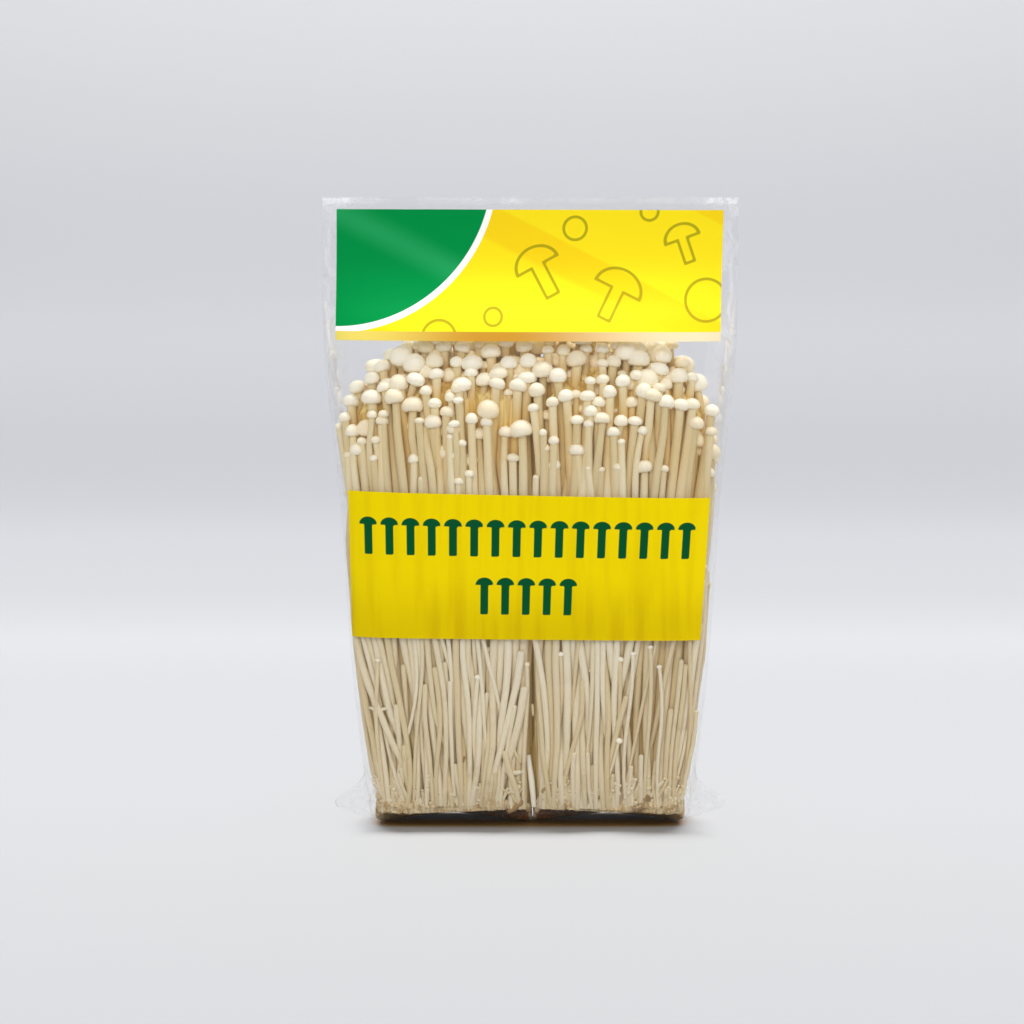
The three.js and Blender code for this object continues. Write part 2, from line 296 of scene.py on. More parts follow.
def shoot(root, tip, height, cap, stem, bow=(0, 0), kind="crown"):
    """One mushroom: the places of its foot and of its cap, and its sizes."""
    middle = (np.asarray(root) + np.asarray(tip)) / 2 + np.asarray(bow)
    grown = {"root": root, "middle": middle, "tip": tip, "height": height, "cap": cap, "stem": stem}
    return grown | {"kind": kind, "start": STEM_START}


def crown_shoots(side):
    """The crown of one clump, from the same draws as that of the solids."""
    draw = random_stream(20417 if side < 0 else 90731)

    def spread(size):
        return (draw() * 2 - 1) * size

    shoots = []
    for row in range(-5, 6):
        for column in range(14):
            kind = (column - row) % 3
            cap = CAP_RADIUS[kind] + spread(CAP_RADIUS_SPREAD)
            step = column + 0.5 + (0.5 if row % 2 else 0)
            x = SEAM_X + side * step * PITCH + spread(SHAKE)
            y = row * PITCH * math.sqrt(0.75) + spread(SHAKE)
            top = float(crown_at(x, y)) - CLASS_DROP[kind] + spread(HEIGHT_SPREAD)
            bow = (spread(LEAN), spread(LEAN))
            spread(math.pi)  # the solids turn a mushroom by this draw, and here it only keeps the order
            taken = max(cap, WALL_BAND)
            fits = (
                side * (x - seam_at(y)) > cap + SEAM_CLEARANCE
                and abs(x) + taken < room_width(top)
                and abs(y) + taken < room_depth(abs(x) + cap * 0.5, top - cap)
            )
            if fits:
                root = root_under(side, x, y, top)
                height = top - CAP_RISE * cap
                shoots.append(shoot(root, (x, y), height, cap, STEM_RADIUS[kind], bow))
    return shoots


print("mushrooms in the crown of the left clump:", len(crown_shoots(-1)))

# %% [markdown]
# ## The wall and the pins
#
# The wall is the outermost row, whose stems show their whole length. Pins are stunted mushrooms with a
# tiny cap in front of the wall. Neighbours lean the same way near the foot, as if combed, so their lean
# comes from a smooth noise and not from single draws.

# %% The wall and the pins
WALL_COUNT = 29
WALL_HEIGHT = (104, 127)
WALL_FALL = 9
WALL_LEAN = 0.014
WALL_LAYER = 1.1
PIN_COUNT = 12
PIN_RADIUS = 0.9
PIN_CAP = 1.5
PIN_HEIGHT = (22, 98)
SWAY = 0.11
SWAY_TURNS = 6
SWAY_HEIGHT = 70


def standing(side, share, lean, height, cap, stem, kind, layer=0.0):
    """A mushroom that stands at a share of the way round. Near the foot neighbours lean the same way."""
    drift = SWAY * noise.noise(Vector((share * SWAY_TURNS, side * 3, 0))) * min(1, height / SWAY_HEIGHT)
    root = way_round(side, MAT_TOP, stem + layer, share - lean + drift)
    tip = way_round(side, height, cap, share + lean)
    middle = way_round(side, height / 2, stem + layer * 0.5, share + lean * 0.3 + drift * 0.25)
    grown = shoot(root, tip, height, cap, stem, kind=kind)
    grown["middle"] = middle
    return grown


def wall_shoots(side):
    """The outermost row of one clump, in three layers by turns."""
    draw = random_stream(31189 if side < 0 else 61211)
    shoots = []
    for i in range(WALL_COUNT):
        share = (i + 0.25 + 0.5 * draw()) / WALL_COUNT
        cap = CAP_RADIUS[i % 3] * (0.8 + 0.15 * draw())
        level = (i * 2 % 5 + draw()) / 5
        height = between(WALL_HEIGHT, level) - WALL_FALL * math.sin(share * math.pi) ** 4
        lean = (draw() * 2 - 1) * WALL_LEAN
        draw()  # the solids use this draw
        layer = 0.9 + i % 3 * WALL_LAYER
        shoots.append(standing(side, share, lean, height, cap, STEM_RADIUS[i % 3], "wall", layer))
    return shoots


def pin_shoots(side):
    """The stunted mushrooms in front of the wall."""
    draw = random_stream(5519 if side < 0 else 7103)
    shoots = []
    for i in range(PIN_COUNT):
        share = (i + 0.2 + 0.6 * draw()) / PIN_COUNT
        height = between(PIN_HEIGHT, draw())
        lean = (draw() * 2 - 1) * WALL_LEAN
        draw()  # the solids use this draw
        shoots.append(standing(side, share, lean, height, PIN_CAP, PIN_RADIUS, "pin"))
    return shoots


print("mushrooms in its wall, and pins:", len(wall_shoots(-1)), len(pin_shoots(-1)))

# %% [markdown]
# ## What the solids leave out
#
# A real bunch has far more mushrooms than the solids. Small caps fill the gaps between the large ones,
# and only their upper part is built, since the lower part is hidden. Blunt and stunted shoots stand low
# on the outside and lean every way. A last row along the seam closes the view between the clumps.

# %% Small caps between the large ones
BETWEEN_COUNT = 190
BETWEEN_FIELD = (52, 17)
BETWEEN_CAP = (1.5, 3.6)
BETWEEN_DROP = (0, 24)
BETWEEN_BOW = 3
BETWEEN_START = (58, 74)


def between_shoots(side):
    """Small caps in the gaps of the crown. The lower one stands, the more likely it is small."""
    draw = random_stream(4241 if side < 0 else 8837)
    shoots = []
    while len(shoots) < BETWEEN_COUNT:
        x = SEAM_X + side * (1.5 + draw() * BETWEEN_FIELD[0])
        y = (draw() * 2 - 1) * BETWEEN_FIELD[1]
        low = draw() ** 1.7
        cap = between(BETWEEN_CAP, draw() ** (0.6 + 1.4 * low))
        top = float(crown_at(x, y)) - between(BETWEEN_DROP, low)
        bow = (draw() - 0.5) * BETWEEN_BOW, (draw() - 0.5) * BETWEEN_BOW
        if abs(x) + cap < room_width(top) and abs(y) + cap < room_depth(abs(x), top):
            root = root_under(side, x, y, top)
            stem = 0.75 + 0.2 * cap
            shoots.append(shoot(root, (x, y), top - CAP_RISE * cap, cap, stem, bow, "between"))
            shoots[-1]["start"] = between(BETWEEN_START, draw())
    return shoots


print("small caps in each clump:", len(between_shoots(-1)))

# %% Low shoots, and a row along the seam
LOW_COUNT = 126
LOW_HEIGHT = (10, 80)
LOW_STEM = (0.72, 1.15)
LOW_LEAN = 0.065
LOW_LEAN_HEIGHT = 50
LOW_STOUT = 1.4
LOW_STOUT_SHARE = 0.2
LOW_CAPPED_SHARE = 0.2
LOW_BACK = 1.6
SEAM_COUNT = 9
SEAM_ROW = (-5, 12)
SEAM_HEIGHT = (70, 118)


def low_shoots(side):
    """Blunt and stunted shoots low on the outside, which lean every way."""
    draw = random_stream(1999 if side < 0 else 3571)
    shoots = []
    for i in range(LOW_COUNT):
        share = (i + draw()) / LOW_COUNT
        height = between(LOW_HEIGHT, draw() ** 0.9)
        lean = (draw() * 2 - 1) * LOW_LEAN * min(1, height / LOW_LEAN_HEIGHT)
        stout = draw() < LOW_STOUT_SHARE
        stem = LOW_STOUT if stout else between(LOW_STEM, draw())
        cap = max(stem * 1.2, 1.15) if draw() < LOW_CAPPED_SHARE and not stout else 0
        shoots.append(standing(side, share, lean, height, max(cap, stem), stem, "low", LOW_BACK * draw()))
        shoots[-1]["cap"] = cap
    return shoots


def seam_shoots(side):
    """A row along the seam, behind the front stems."""
    draw = random_stream(6007 if side < 0 else 7919)
    shoots = []
    for i in range(SEAM_COUNT):
        y = SEAM_ROW[0] + (SEAM_ROW[1] - SEAM_ROW[0]) * (i + draw()) / SEAM_COUNT
        height = between(SEAM_HEIGHT, draw())
        stem = 1.1 + 0.3 * draw()
        root = (SEAM_X + side * (stem + 0.1), y)
        tip = (SEAM_X + side * (stem + 1), y)
        shoots.append(shoot(root, tip, height, 1.6 + 0.8 * draw(), stem, kind="seam"))
    return shoots


print("low shoots and seam shoots in each clump:", len(low_shoots(-1)), len(seam_shoots(-1)))

# %% [markdown]
# ## The front rows, one by one
#
# What faces the viewer is not left to chance. The caps along the front slope of the crown are listed
# singly, each with its place across, the height of its middle and its radius. So are the stunted shoots
# on the front of the foot. The listed ones take the place of the rule's shoots there, and small caps
# stay behind them to fill the gaps. Listing every mushroom would be possible too, but a rule is enough
# where nobody can tell one from the next.

# %% The caps on the front slope, in millimetres
FRONT_CAPS = [
    (-56.8, 119.2, 1.2), (-54.9, 122, 1.9), (-54.1, 111, 1.4), (-53.3, 126.9, 2.6),
    (-51.2, 131.2, 2.6), (-49.8, 115.3, 1.7), (-47, 133.8, 2.4), (-46.9, 128.3, 3.2),
    (-46.3, 110.3, 1.2), (-43.9, 121.5, 2.1), (-43.7, 137.2, 2.6), (-43.5, 123.6, 1.7),
    (-43, 131.5, 2.4), (-41.3, 140.6, 2.4), (-38.7, 132.3, 3.1), (-36.7, 141.8, 2.1),
    (-34.3, 110.1, 1.8), (-34.2, 138.1, 3.6), (-32.9, 121.7, 1.6), (-32.3, 104.3, 0.8),
    (-31.2, 143.1, 3.0), (-30.9, 130.3, 1.9), (-28.6, 121.2, 2.8), (-28.3, 126.9, 2.2),
    (-28.3, 139, 2.8), (-27.6, 135.3, 2.5), (-25.6, 143.2, 2.6), (-24.8, 124.2, 2.3),
    (-23.7, 116.8, 1.0), (-23.1, 111.3, 1.3), (-21.8, 138.8, 2.1), (-21.3, 131.4, 2.1),
    (-21.1, 127.8, 1.6), (-20.4, 142.9, 2.4), (-20.2, 115.1, 1.4), (-17.5, 135.8, 2.1),
    (-17.4, 122, 1.9), (-17, 138.8, 3.4), (-15.1, 144.2, 2.1), (-12.9, 121.2, 1.9),
    (-12.5, 124.9, 3.4), (-11.5, 141.8, 3.2), (-10.1, 132.6, 2.5), (-9.2, 135.8, 2.8),
    (-7.5, 144.5, 2.6), (-6.3, 138.5, 2.7), (-5.2, 110.8, 1.9), (-3.7, 132, 2.9), (-1.6, 143.5, 2.8),
    (-0.9, 134.4, 3.3), (-0.4, 139.1, 2.8), (0.9, 125.6, 1.8), (2.2, 130.6, 2.6), (1.7, 104.8, 1.0),
    (3.8, 118.1, 1.2), (4.6, 113.5, 1.7), (5.3, 142.2, 1.9), (6.6, 127, 2.0),
    (6.7, 108.6, 2.2), (7, 115.8, 1.7),
    (8.1, 134.7, 2.8), (9.7, 141.8, 2.1), (10.7, 128.9, 2.4), (13.9, 113.1, 2.6), (13.9, 122.2, 2.2),
    (13.9, 139.5, 3.2), (16.4, 142.6, 2.0), (17, 129.1, 2.6), (17.1, 107.6, 0.9), (17.1, 120.7, 1.6),
    (17.7, 133.4, 1.8), (17.9, 124.4, 2.2), (20.9, 107.2, 1.2), (21.3, 138.4, 1.9), (21.3, 142.6, 2.4),
    (21.6, 133.8, 2.1), (23.6, 130, 2.2), (24.6, 118.3, 2.2), (24.6, 138.8, 2.3), (25.8, 107.8, 1.6),
    (25.8, 143.5, 2.1), (26.9, 115.4, 1.2), (27.3, 133.2, 2.4), (31, 121.8, 2.2), (32, 139.7, 3.6),
    (32, 142.9, 2.7), (33.2, 130.3, 2.6), (38.1, 131.3, 2.1), (38.1, 137.1, 2.9), (39.2, 140.1, 2.7),
    (42.4, 143.4, 2.4), (44, 134.4, 3.0), (44.4, 126.3, 2.5), (45.4, 138.1, 2.4), (48.1, 126.3, 2.4),
    (48.2, 133.9, 2.0), (48.8, 120.8, 2.5), (53.6, 118.1, 2.0), (53.8, 124.1, 2.4),
]
FRONT_DRIFT = 7
NECK_SHARE = 0.68


def front_depth(x, top):
    """How far forward a cap stands that reaches this height on the crown's front slope."""
    fall = CROWN_HEIGHT - CROWN_FALL_X * (abs(x) / room_width(WIDEST_AT)) ** 5 - top
    share = min(1, max(0, float(fall) / CROWN_FALL_Y) ** (1 / 2.2))
    return -share * float(through(HALF_DEPTH, WIDEST_AT) - CLEARANCE)


def front_shoots(side):
    """The mushrooms under the listed caps, with stems that wander a little on their way down."""
    draw = random_stream(509 if side < 0 else 1301)
    shoots = []
    for x, z, cap in FRONT_CAPS:
        if side * (x - SEAM_X) > 0:
            y = max(front_depth(x, z + 0.6 * cap), cap - float(room_depth(abs(x), z)))
            root = root_under(side, x, y, z)
            root[0] += FRONT_DRIFT * noise.noise(Vector((x * 0.13, side * 3, z * 0.05)))
            bow = (draw() - 0.5) * 3, draw()
            height = z - NECK_SHARE * cap
            shoots.append(shoot(root, (x, y), height, cap, 0.9 + 0.26 * cap, bow, "front"))
    return shoots


print("listed caps, left and right:", len(front_shoots(-1)), len(front_shoots(1)))

# %% The shoots on the front of the foot, in millimetres
# Each row: the tip's place across and height, the foot's place across, the stem's and the cap's radius.
FRONT_LOW = [
    (-44.7, 49.5, -43, 0.8, 0.9), (-11.7, 52.5, -14.5, 0.9, 1), (-15.6, 44.4, -16.5, 0.95, 1),
    (-23.4, 43.2, -22, 0.95, 0), (-0.9, 48.3, -2.4, 0.9, 0.9), (-28.4, 47.4, -27, 1.05, 0),
    (-13, 39.7, -14.1, 1, 0), (-0.4, 41.2, -10, 1.6, 0), (-2.2, 52, -13, 1.4, 0), (-38, 48, -37.4, 1, 0),
    (-31.7, 42.2, -28.8, 1.1, 0), (-39.5, 36, -38.5, 1.2, 0), (-5.4, 36, -9.5, 1, 0),
    (-25.8, 49, -24, 0.9, 0), (-44.2, 18.8, -43, 1.3, 0), (-37.9, 23.9, -36.5, 1.1, 0),
    (-19.6, 21, -20, 1.1, 0), (28.3, 38.7, 20.4, 1.15, 0), (15.7, 43.7, 9.1, 1, 0),
    (8.7, 51.4, 8, 0.8, 0.9), (25.6, 49.7, 24, 0.85, 0.95), (30.3, 51.5, 29, 0.8, 0.9),
    (17.7, 46.2, 17, 0.9, 1.05), (35.5, 53.5, 34, 0.8, 0.85), (38.4, 47.6, 38, 0.8, 0.85),
    (45, 49.5, 41, 0.9, 0), (42.5, 34.6, 41, 1.15, 0), (49.3, 34, 44.5, 0.95, 0), (33.4, 21, 33, 1.1, 0),
    (30.1, 17.7, 29.6, 1, 0), (37.5, 19, 37, 1.1, 0), (46.6, 48, 43, 1, 0), (13.6, 21.8, 13, 1.1, 0),
]


def front_low_shoots(side):
    """The listed shoots, each pressed against the inside of the film."""
    shoots = []
    for x, z, foot, stem, cap in FRONT_LOW:
        if side * (x - SEAM_X) > 0:
            tip = x, max(stem, cap) - float(room_depth(abs(x), z))
            root = foot, stem + 0.7 - float(room_depth(abs(foot), MAT_TOP))
            shoots.append(shoot(root, tip, z, cap, stem, kind="low"))
    return shoots


print("listed low shoots, left and right:", len(front_low_shoots(-1)), len(front_low_shoots(1)))

# %% All shoots together
FRONT_FROM = -5
LISTED_LOW = (26, 56)
BEHIND_DROP = 3
BEHIND_BACK = 0.5


def lay_out(side):
    """All shoots of a clump. Those of the rule that would stand before the listed ones are left out."""
    grown = []
    for group in (crown_shoots, wall_shoots, pin_shoots, between_shoots, low_shoots, seam_shoots):
        for one in group(side):
            facing = one["tip"][1] < FRONT_FROM
            if facing and one["kind"] == "between":
                one["height"] -= BEHIND_DROP
                one["tip"] = one["tip"][0], one["tip"][1] + BEHIND_BACK
            stunted = one["kind"] == "low" and not LISTED_LOW[0] < one["height"] < LISTED_LOW[1]
            if not facing or one["kind"] == "between" or stunted:
                grown.append(one)
    return grown + front_shoots(side) + front_low_shoots(side)


left, right = lay_out(-1), lay_out(1)
shoots = left + right
sides = np.array([-1] * len(left) + [1] * len(right))
print("mushrooms in the left clump:", len(left), "and in the right clump:", len(right))

# %% [markdown]
# ## Making room
#
# Real mushrooms in a crowded bunch push each other aside: stems bend round the caps beside them. The
# same happens here, one height at a time. At each level every stem or cap is a disc, discs that
# overlap move apart, and each stem then spreads its moves up and down, because it is stiff. A physics
# simulation of all stems could do this too, but a few dozen rounds of plain pushes take only seconds.
# Afterwards most things just touch. Only where the pack is tightest do some still sink into each other.

# %% The shoots as bent lines
LEVEL_STEP = 2.5
LEVELS = np.arange(MAT_TOP, 152, LEVEL_STEP)
WANDER = (2.1, 0.8)
LONG_STEM = 90

heights = np.array([s["height"] for s in shoots])
starts = np.array([s["start"] for s in shoots])
caps = np.array([s["cap"] for s in shoots])
stems = np.array([s["stem"] for s in shoots])


def bent_lines():
    """The place of each shoot at each level, before anything is pushed."""
    roots, middles, tips = (np.array([s[key] for s in shoots], float) for key in ("root", "middle", "tip"))
    pulls = 2 * middles - (roots + tips) / 2
    t = np.clip((LEVELS[None, :] - MAT_TOP) / (heights[:, None] - MAT_TOP), 0, 1)[..., None]
    lines = (1 - t) ** 2 * roots[:, None] + 2 * t * (1 - t) * pulls[:, None] + t * t * tips[:, None]
    draw = random_stream(86243)
    sizes = np.array([[(draw() * 2 - 1) * size for size in WANDER * 2] for _ in shoots])
    long = np.minimum(1, heights / LONG_STEM)[:, None]
    bow, bend = sizes[:, :2] * long, sizes[:, 2:] * long * 0.6
    return lines + bow[:, None] * np.sin(math.pi * t) + bend[:, None] * np.sin(2 * math.pi * t)


print("shoots and levels:", bent_lines().shape[:2])

# %% How much room each shoot takes
FOOT_TAPER = 0.66
FULL_STEM_AT = 88
CAP_EQUATOR = 0.5


def taper_at(z):
    """A stem's thickness at height z, as a share of its full one: slimmer at the foot."""
    return between((FOOT_TAPER, 1), smoothstep(z, 0, FULL_STEM_AT))


def disc_radii():
    """How much room each shoot takes at each level, and nothing above its top."""
    z = LEVELS[None, :]
    up = (z - heights[:, None]) / np.maximum(caps[:, None], 0.1)
    stem = np.where((up < 0.5) & (z > starts[:, None]), stems[:, None] * taper_at(z), 0)
    dome = np.clip((up - CAP_EQUATOR) / 0.9, -0.45, 1)
    cap = caps[:, None] * np.sqrt(1 - dome**2)
    return np.where((up > -0.3) & (caps[:, None] > 0), np.maximum(cap, stem), stem)


print("widest disc:", round(float(disc_radii().max()), 2), "mm")

# %% Where a shoot may go
FILM_GAP = 1.0
FOOT_BACK = 1.1
GAP_FLARE = 0.9
SHOULDER_FROM = 124
SEAM_TOP = 55
FREE = 99


def seam_gap(y, z):
    """Half the gap between the clumps: open at the front of the foot, closed behind and above."""
    wide = FOOT_GAP / 2 + GAP_FLARE * (1 - smoothstep(y, -15, -10))
    return wide * (1 - smoothstep(z, 12, 58)) * (1 - smoothstep(y, -9, -1)) + 0.1


def keep_inside(places, radii):
    """Holds every disc inside the film, and beside the gap between the two mats."""
    z = LEVELS[None, :]
    back = FILM_GAP + FOOT_BACK * (1 - smoothstep(z, 5, 16)) + radii
    shoulder = room_width(WIDEST_AT) * np.clip((CROWN_HEIGHT + 1 - z) / CROWN_FALL_X, 0.05, 1) ** 0.2
    under = np.where(z > SHOULDER_FROM, shoulder + 1 - radii, FREE)
    limit = np.minimum(through(HALF_WIDTH, z) - back, under)
    places[..., 0] = np.clip(places[..., 0], -limit, limit)
    deep = np.maximum(bag_depth(np.abs(places[..., 0]) + 0.6 * radii, z) - back, 0)
    places[..., 1] = np.clip(places[..., 1], -deep, deep)
    gap = seam_gap(places[..., 1], z) + radii
    off = sides[:, None] * (places[..., 0] - SEAM_X)
    low = (z < SEAM_TOP) & (off < gap)
    places[..., 0] = np.where(low, SEAM_X + sides[:, None] * gap, places[..., 0])


print("half the gap between the mats, in front and in the middle:", seam_gap(-15, 0), seam_gap(0, 0))

# %% Push the shoots apart, level by level
ROUNDS = 70
NEAR = 9
PUSH = 0.35
LARGEST_PUSH = 1.2
FOOT_HOLD = 0.8
LISTED_HOLD = (34, 8)


def untangle():
    """The lines after many small pushes. The listed caps keep their place across."""
    start = bent_lines()
    radii = disc_radii()
    places = start.copy()
    alive = radii > 0
    listed = np.array([s["kind"] == "front" for s in shoots])[:, None]
    below, above = (heights[:, None] - drop for drop in LISTED_HOLD)
    free = 1 - listed * smoothstep(LEVELS[None, :], below, above)
    free = np.stack([free, 0.25 + 0.75 * free], axis=-1)
    gaps = np.linalg.norm(start[:, None] - start[None, :], axis=-1)
    both = alive[:, None] & alive[None, :]
    near = np.where(both, gaps, np.inf).min(axis=2) < NEAR
    a, b = np.nonzero(np.triu(near, 1))
    reach = np.where(alive[a] & alive[b], radii[a] + radii[b], 0)
    for _ in range(ROUNDS):
        way = places[b] - places[a]
        apart = np.linalg.norm(way, axis=-1) + 1e-6
        push = np.clip(reach - apart, 0, LARGEST_PUSH) * PUSH
        move = way / apart[..., None] * push[..., None]
        total = np.zeros_like(places)
        np.add.at(total, a, -move)
        np.add.at(total, b, move)
        places += total
        shift = places - start
        shift[:, 0] *= FOOT_HOLD
        for _ in range(2):
            smooth = shift.copy()
            smooth[:, 1:-1] = (shift[:, :-2] + 2 * shift[:, 1:-1] + shift[:, 2:]) / 4
            shift = smooth
        shift *= free
        places = start + shift
        keep_inside(places, radii)
    way = places[b] - places[a]
    left_over = np.clip(reach - np.linalg.norm(way, axis=-1), 0, None)
    print("pairs:", len(a), "and the share that still overlaps by 1 mm:", (left_over > 1).mean().round(3))
    return places


lines = untangle()


def place_at(i, z):
    """The place of shoot i at height z."""
    return np.array([np.interp(z, LEVELS, lines[i, :, 0]), np.interp(z, LEVELS, lines[i, :, 1]), z])


# %% [markdown]
# ## Materials of the mushrooms
#
# The flesh is cream white and faintly fibred along the stem. Low down it turns beige, partly its own
# colour and partly painted shade for the weaker light there. Where many stems stand close together the
# light that gets in comes back golden. True scattering under the skin would give this glow, but it is
# slow and noisy in a thousand thin stems. So each point keeps how deep it lies in the bunch, and the
# inner ones get a golden painted shade and a faint painted glow. Places in a shader are in metres.

# %% Shader tools


class Shader:
    """A new material with short ways to add and join its nodes. A value may be a number or a socket."""

    def __init__(self, name):
        self.material = bpy.data.materials.new(name)
        self.material.use_nodes = True
        self.nodes = self.material.node_tree.nodes
        self.nodes.clear()
        self.output = self.add("ShaderNodeOutputMaterial")

    def add(self, kind, settings=None, **inputs):
        node = self.nodes.new(kind)
        for key, value in (settings or {}).items():
            setattr(node, key, value)
        for key, value in inputs.items():
            self.set(node, key.replace("_", " "), value)
        return node

    def set(self, node, key, value):
        socket = node.inputs[int(key)] if key.isdigit() else node.inputs[key]
        if isinstance(value, bpy.types.NodeSocket):
            self.material.node_tree.links.new(value, socket)
        else:
            socket.default_value = value

    def math(self, operation, a, b=0.0):
        node = self.add("ShaderNodeMath", {"operation": operation})
        self.set(node, "0", a)
        self.set(node, "1", b)
        return node.outputs[0]

    def mix(self, factor, a, b):
        node = self.add("ShaderNodeMix", {"data_type": "RGBA"})
        self.set(node, "0", factor)
        self.set(node, "6", a)
        self.set(node, "7", b)
        return node.outputs[2]

    def ranged(self, value, low, high, to_low=0.0, to_high=1.0):
        node = self.add("ShaderNodeMapRange", {"interpolation_type": "SMOOTHSTEP"})
        for key, item in zip("01234", (value, low, high, to_low, to_high)):
            self.set(node, key, item)
        return node.outputs[0]

    def attribute(self, name):
        return self.add("ShaderNodeAttribute", {"attribute_name": name}).outputs["Fac"]

    def place(self):
        return self.add("ShaderNodeTexCoord").outputs["Object"]

    def stretched(self, scale):
        return self.add("ShaderNodeMapping", Vector=self.place(), Scale=scale).outputs[0]

    def noise(self, scale, detail=2.0, vector=None):
        node = self.add("ShaderNodeTexNoise", Scale=scale, Detail=detail)
        self.set(node, "Vector", vector if vector is not None else self.place())
        return node.outputs[0]

    def bump(self, height, distance, strength=1.0):
        return self.add("ShaderNodeBump", Height=height, Distance=distance, Strength=strength).outputs[0]

    def finish(self, shader):
        self.material.node_tree.links.new(shader, self.output.inputs["Surface"])
        return self.material


def colour(code):
    """A colour from its six-digit sRGB code."""
    parts = [int(code[i : i + 2], 16) / 255 for i in (0, 2, 4)]
    return [p / 12.92 if p <= 0.04045 else ((p + 0.055) / 1.055) ** 2.4 for p in parts] + [1.0]


# %% Mushroom flesh
SHINE_THROUGH = "dcc468"


def flesh(s, base, roughness, normal, glow=0.0):
    """Pale, dull mushroom flesh. The glow stands for the light that shines through the bunch."""
    node = s.add("ShaderNodeBsdfPrincipled", Base_Color=base, Roughness=roughness, Normal=normal)
    node.inputs["Specular IOR Level"].default_value = 0.3
    node.inputs["Emission Color"].default_value = colour(SHINE_THROUGH)
    s.set(node, "Emission Strength", glow)
    s.material.cycles.emission_sampling = "NONE"
    return s.finish(node.outputs[0])


print("colour that shines through:", [round(v, 2) for v in colour(SHINE_THROUGH)])

# %% The stems


def stem_finish():
    """Cream above and beige below, partly painted shade. Deep inside a painted golden shade and a faint
    painted glow, low at both ends a painted amber light, and single brown scraps and low stains.
    """
    s = Shader("mushroom stem")
    x, _, height = (s.add("ShaderNodeSeparateXYZ", Vector=s.place()).outputs[k] for k in "XYZ")
    # beige at the foot and cream from half way up: partly the stem's own colour, partly painted shade
    low = s.ranged(height, 0.06, 0.008)
    lower = s.mix(low, colour("eee4ca"), colour("e7d9ba"))
    pale = s.mix(s.ranged(height, 0.08, 0.115), lower, colour("f0e2ba"))
    # painted shade: golden where a stem lies deep in the bunch
    deep = s.math("MULTIPLY", s.attribute("depth"), s.ranged(height, 0.02, 0.09, 0.4, 1))
    shaded_gold = s.mix(s.ranged(height, 0.07, 0.1), colour("dcba74"), colour("d9b058"))
    inner = s.mix(deep, pale, shaded_gold)
    # each stem's own tone, up to brown for a few scraps
    tone = s.attribute("tone")
    toned = s.mix(s.ranged(tone, 0.35, 1.0, 0, 0.7), inner, colour("d6c08c"))
    varied = s.mix(s.ranged(tone, 1.0, 2.0), toned, colour("a07a48"))
    # painted light: amber low at both ends of the pack, where light shines through the outer stems
    outer = s.ranged(s.math("ABSOLUTE", x), 0.046, 0.057, 0, 0.5)
    backlit_amber = s.mix(s.math("MULTIPLY", outer, s.ranged(height, 0.12, 0.02)), varied, colour("dbb561"))
    # stains near the foot, and fine fibres along the stem
    blotch = s.ranged(s.noise(110, 3), 0.6, 0.74, 0, 0.5)
    stained = s.mix(s.math("MULTIPLY", blotch, low), backlit_amber, colour("a9803f"))
    fibres = s.noise(1.0, 3, s.stretched((2600, 2600, 60)))
    # painted light: a faint glow where a stem lies deep, a little stronger low down
    glow = s.math("MULTIPLY", s.attribute("depth"), s.ranged(height, 0.07, 0.11, 0.05, 0.02))
    return flesh(s, stained, 0.45, s.bump(fibres, 0.00012, 0.5), glow)


STEM = stem_finish()
print("nodes in the stem's finish:", len(STEM.node_tree.nodes))

# %% The caps, and the stems too deep to be seen singly


def cap_finish():
    """Nearly white, each cap in its own tone, and warmer deep inside, a painted shade."""
    s = Shader("mushroom cap")
    tone = s.attribute("tone")
    deep = s.math("MULTIPLY", s.attribute("depth"), 0.4)
    white = s.mix(tone, colour("fdf7e4"), colour("eedcb0"))
    shaded = s.mix(deep, white, colour("f8d68c"))
    return flesh(s, shaded, 0.36, s.bump(s.noise(260, 2), 0.0002, 0.35))


def core_finish():
    """Upright golden streaks with a faint painted glow, darker lower down as painted shade, like stems in
    the shade.
    """
    s = Shader("inner stems")
    height = s.add("ShaderNodeSeparateXYZ", Vector=s.place()).outputs["Z"]
    stripes = s.noise(1.0, 3, s.stretched((560, 560, 12)))
    streak = s.ranged(stripes, 0.4, 0.6)
    low = s.mix(streak, colour("b6924c"), colour("e4cc8c"))
    high = s.mix(streak, colour("c8a04c"), colour("f2d890"))
    # painted shade: darker towards the foot
    shaded_gold = s.mix(s.ranged(height, 0.03, 0.1), low, high)
    # painted light: a faint glow, a little stronger low down
    glow = s.ranged(height, 0.07, 0.11, 0.05, 0.02)
    return flesh(s, shaded_gold, 0.7, s.bump(stripes, 0.002, 1.0), glow)


CAP = cap_finish()
CORE = core_finish()
print("made the finishes:", CAP.name, "and", CORE.name)

# %% [markdown]
# ## The finish of the root mats
#
# The mat is felted from fine roots and bits of the bed that the mushrooms grew on. A plain brown would
# do from afar. Close up it is beige with brown dirt. Along its lower edge and underside it is painted
# dark brown, a painted shadow that is darkest from the seam to 14 mm left of it. Each point keeps a
# number that says how low it lies, so the painted shadow stays on the edge where that curls up.

# %% The root mats


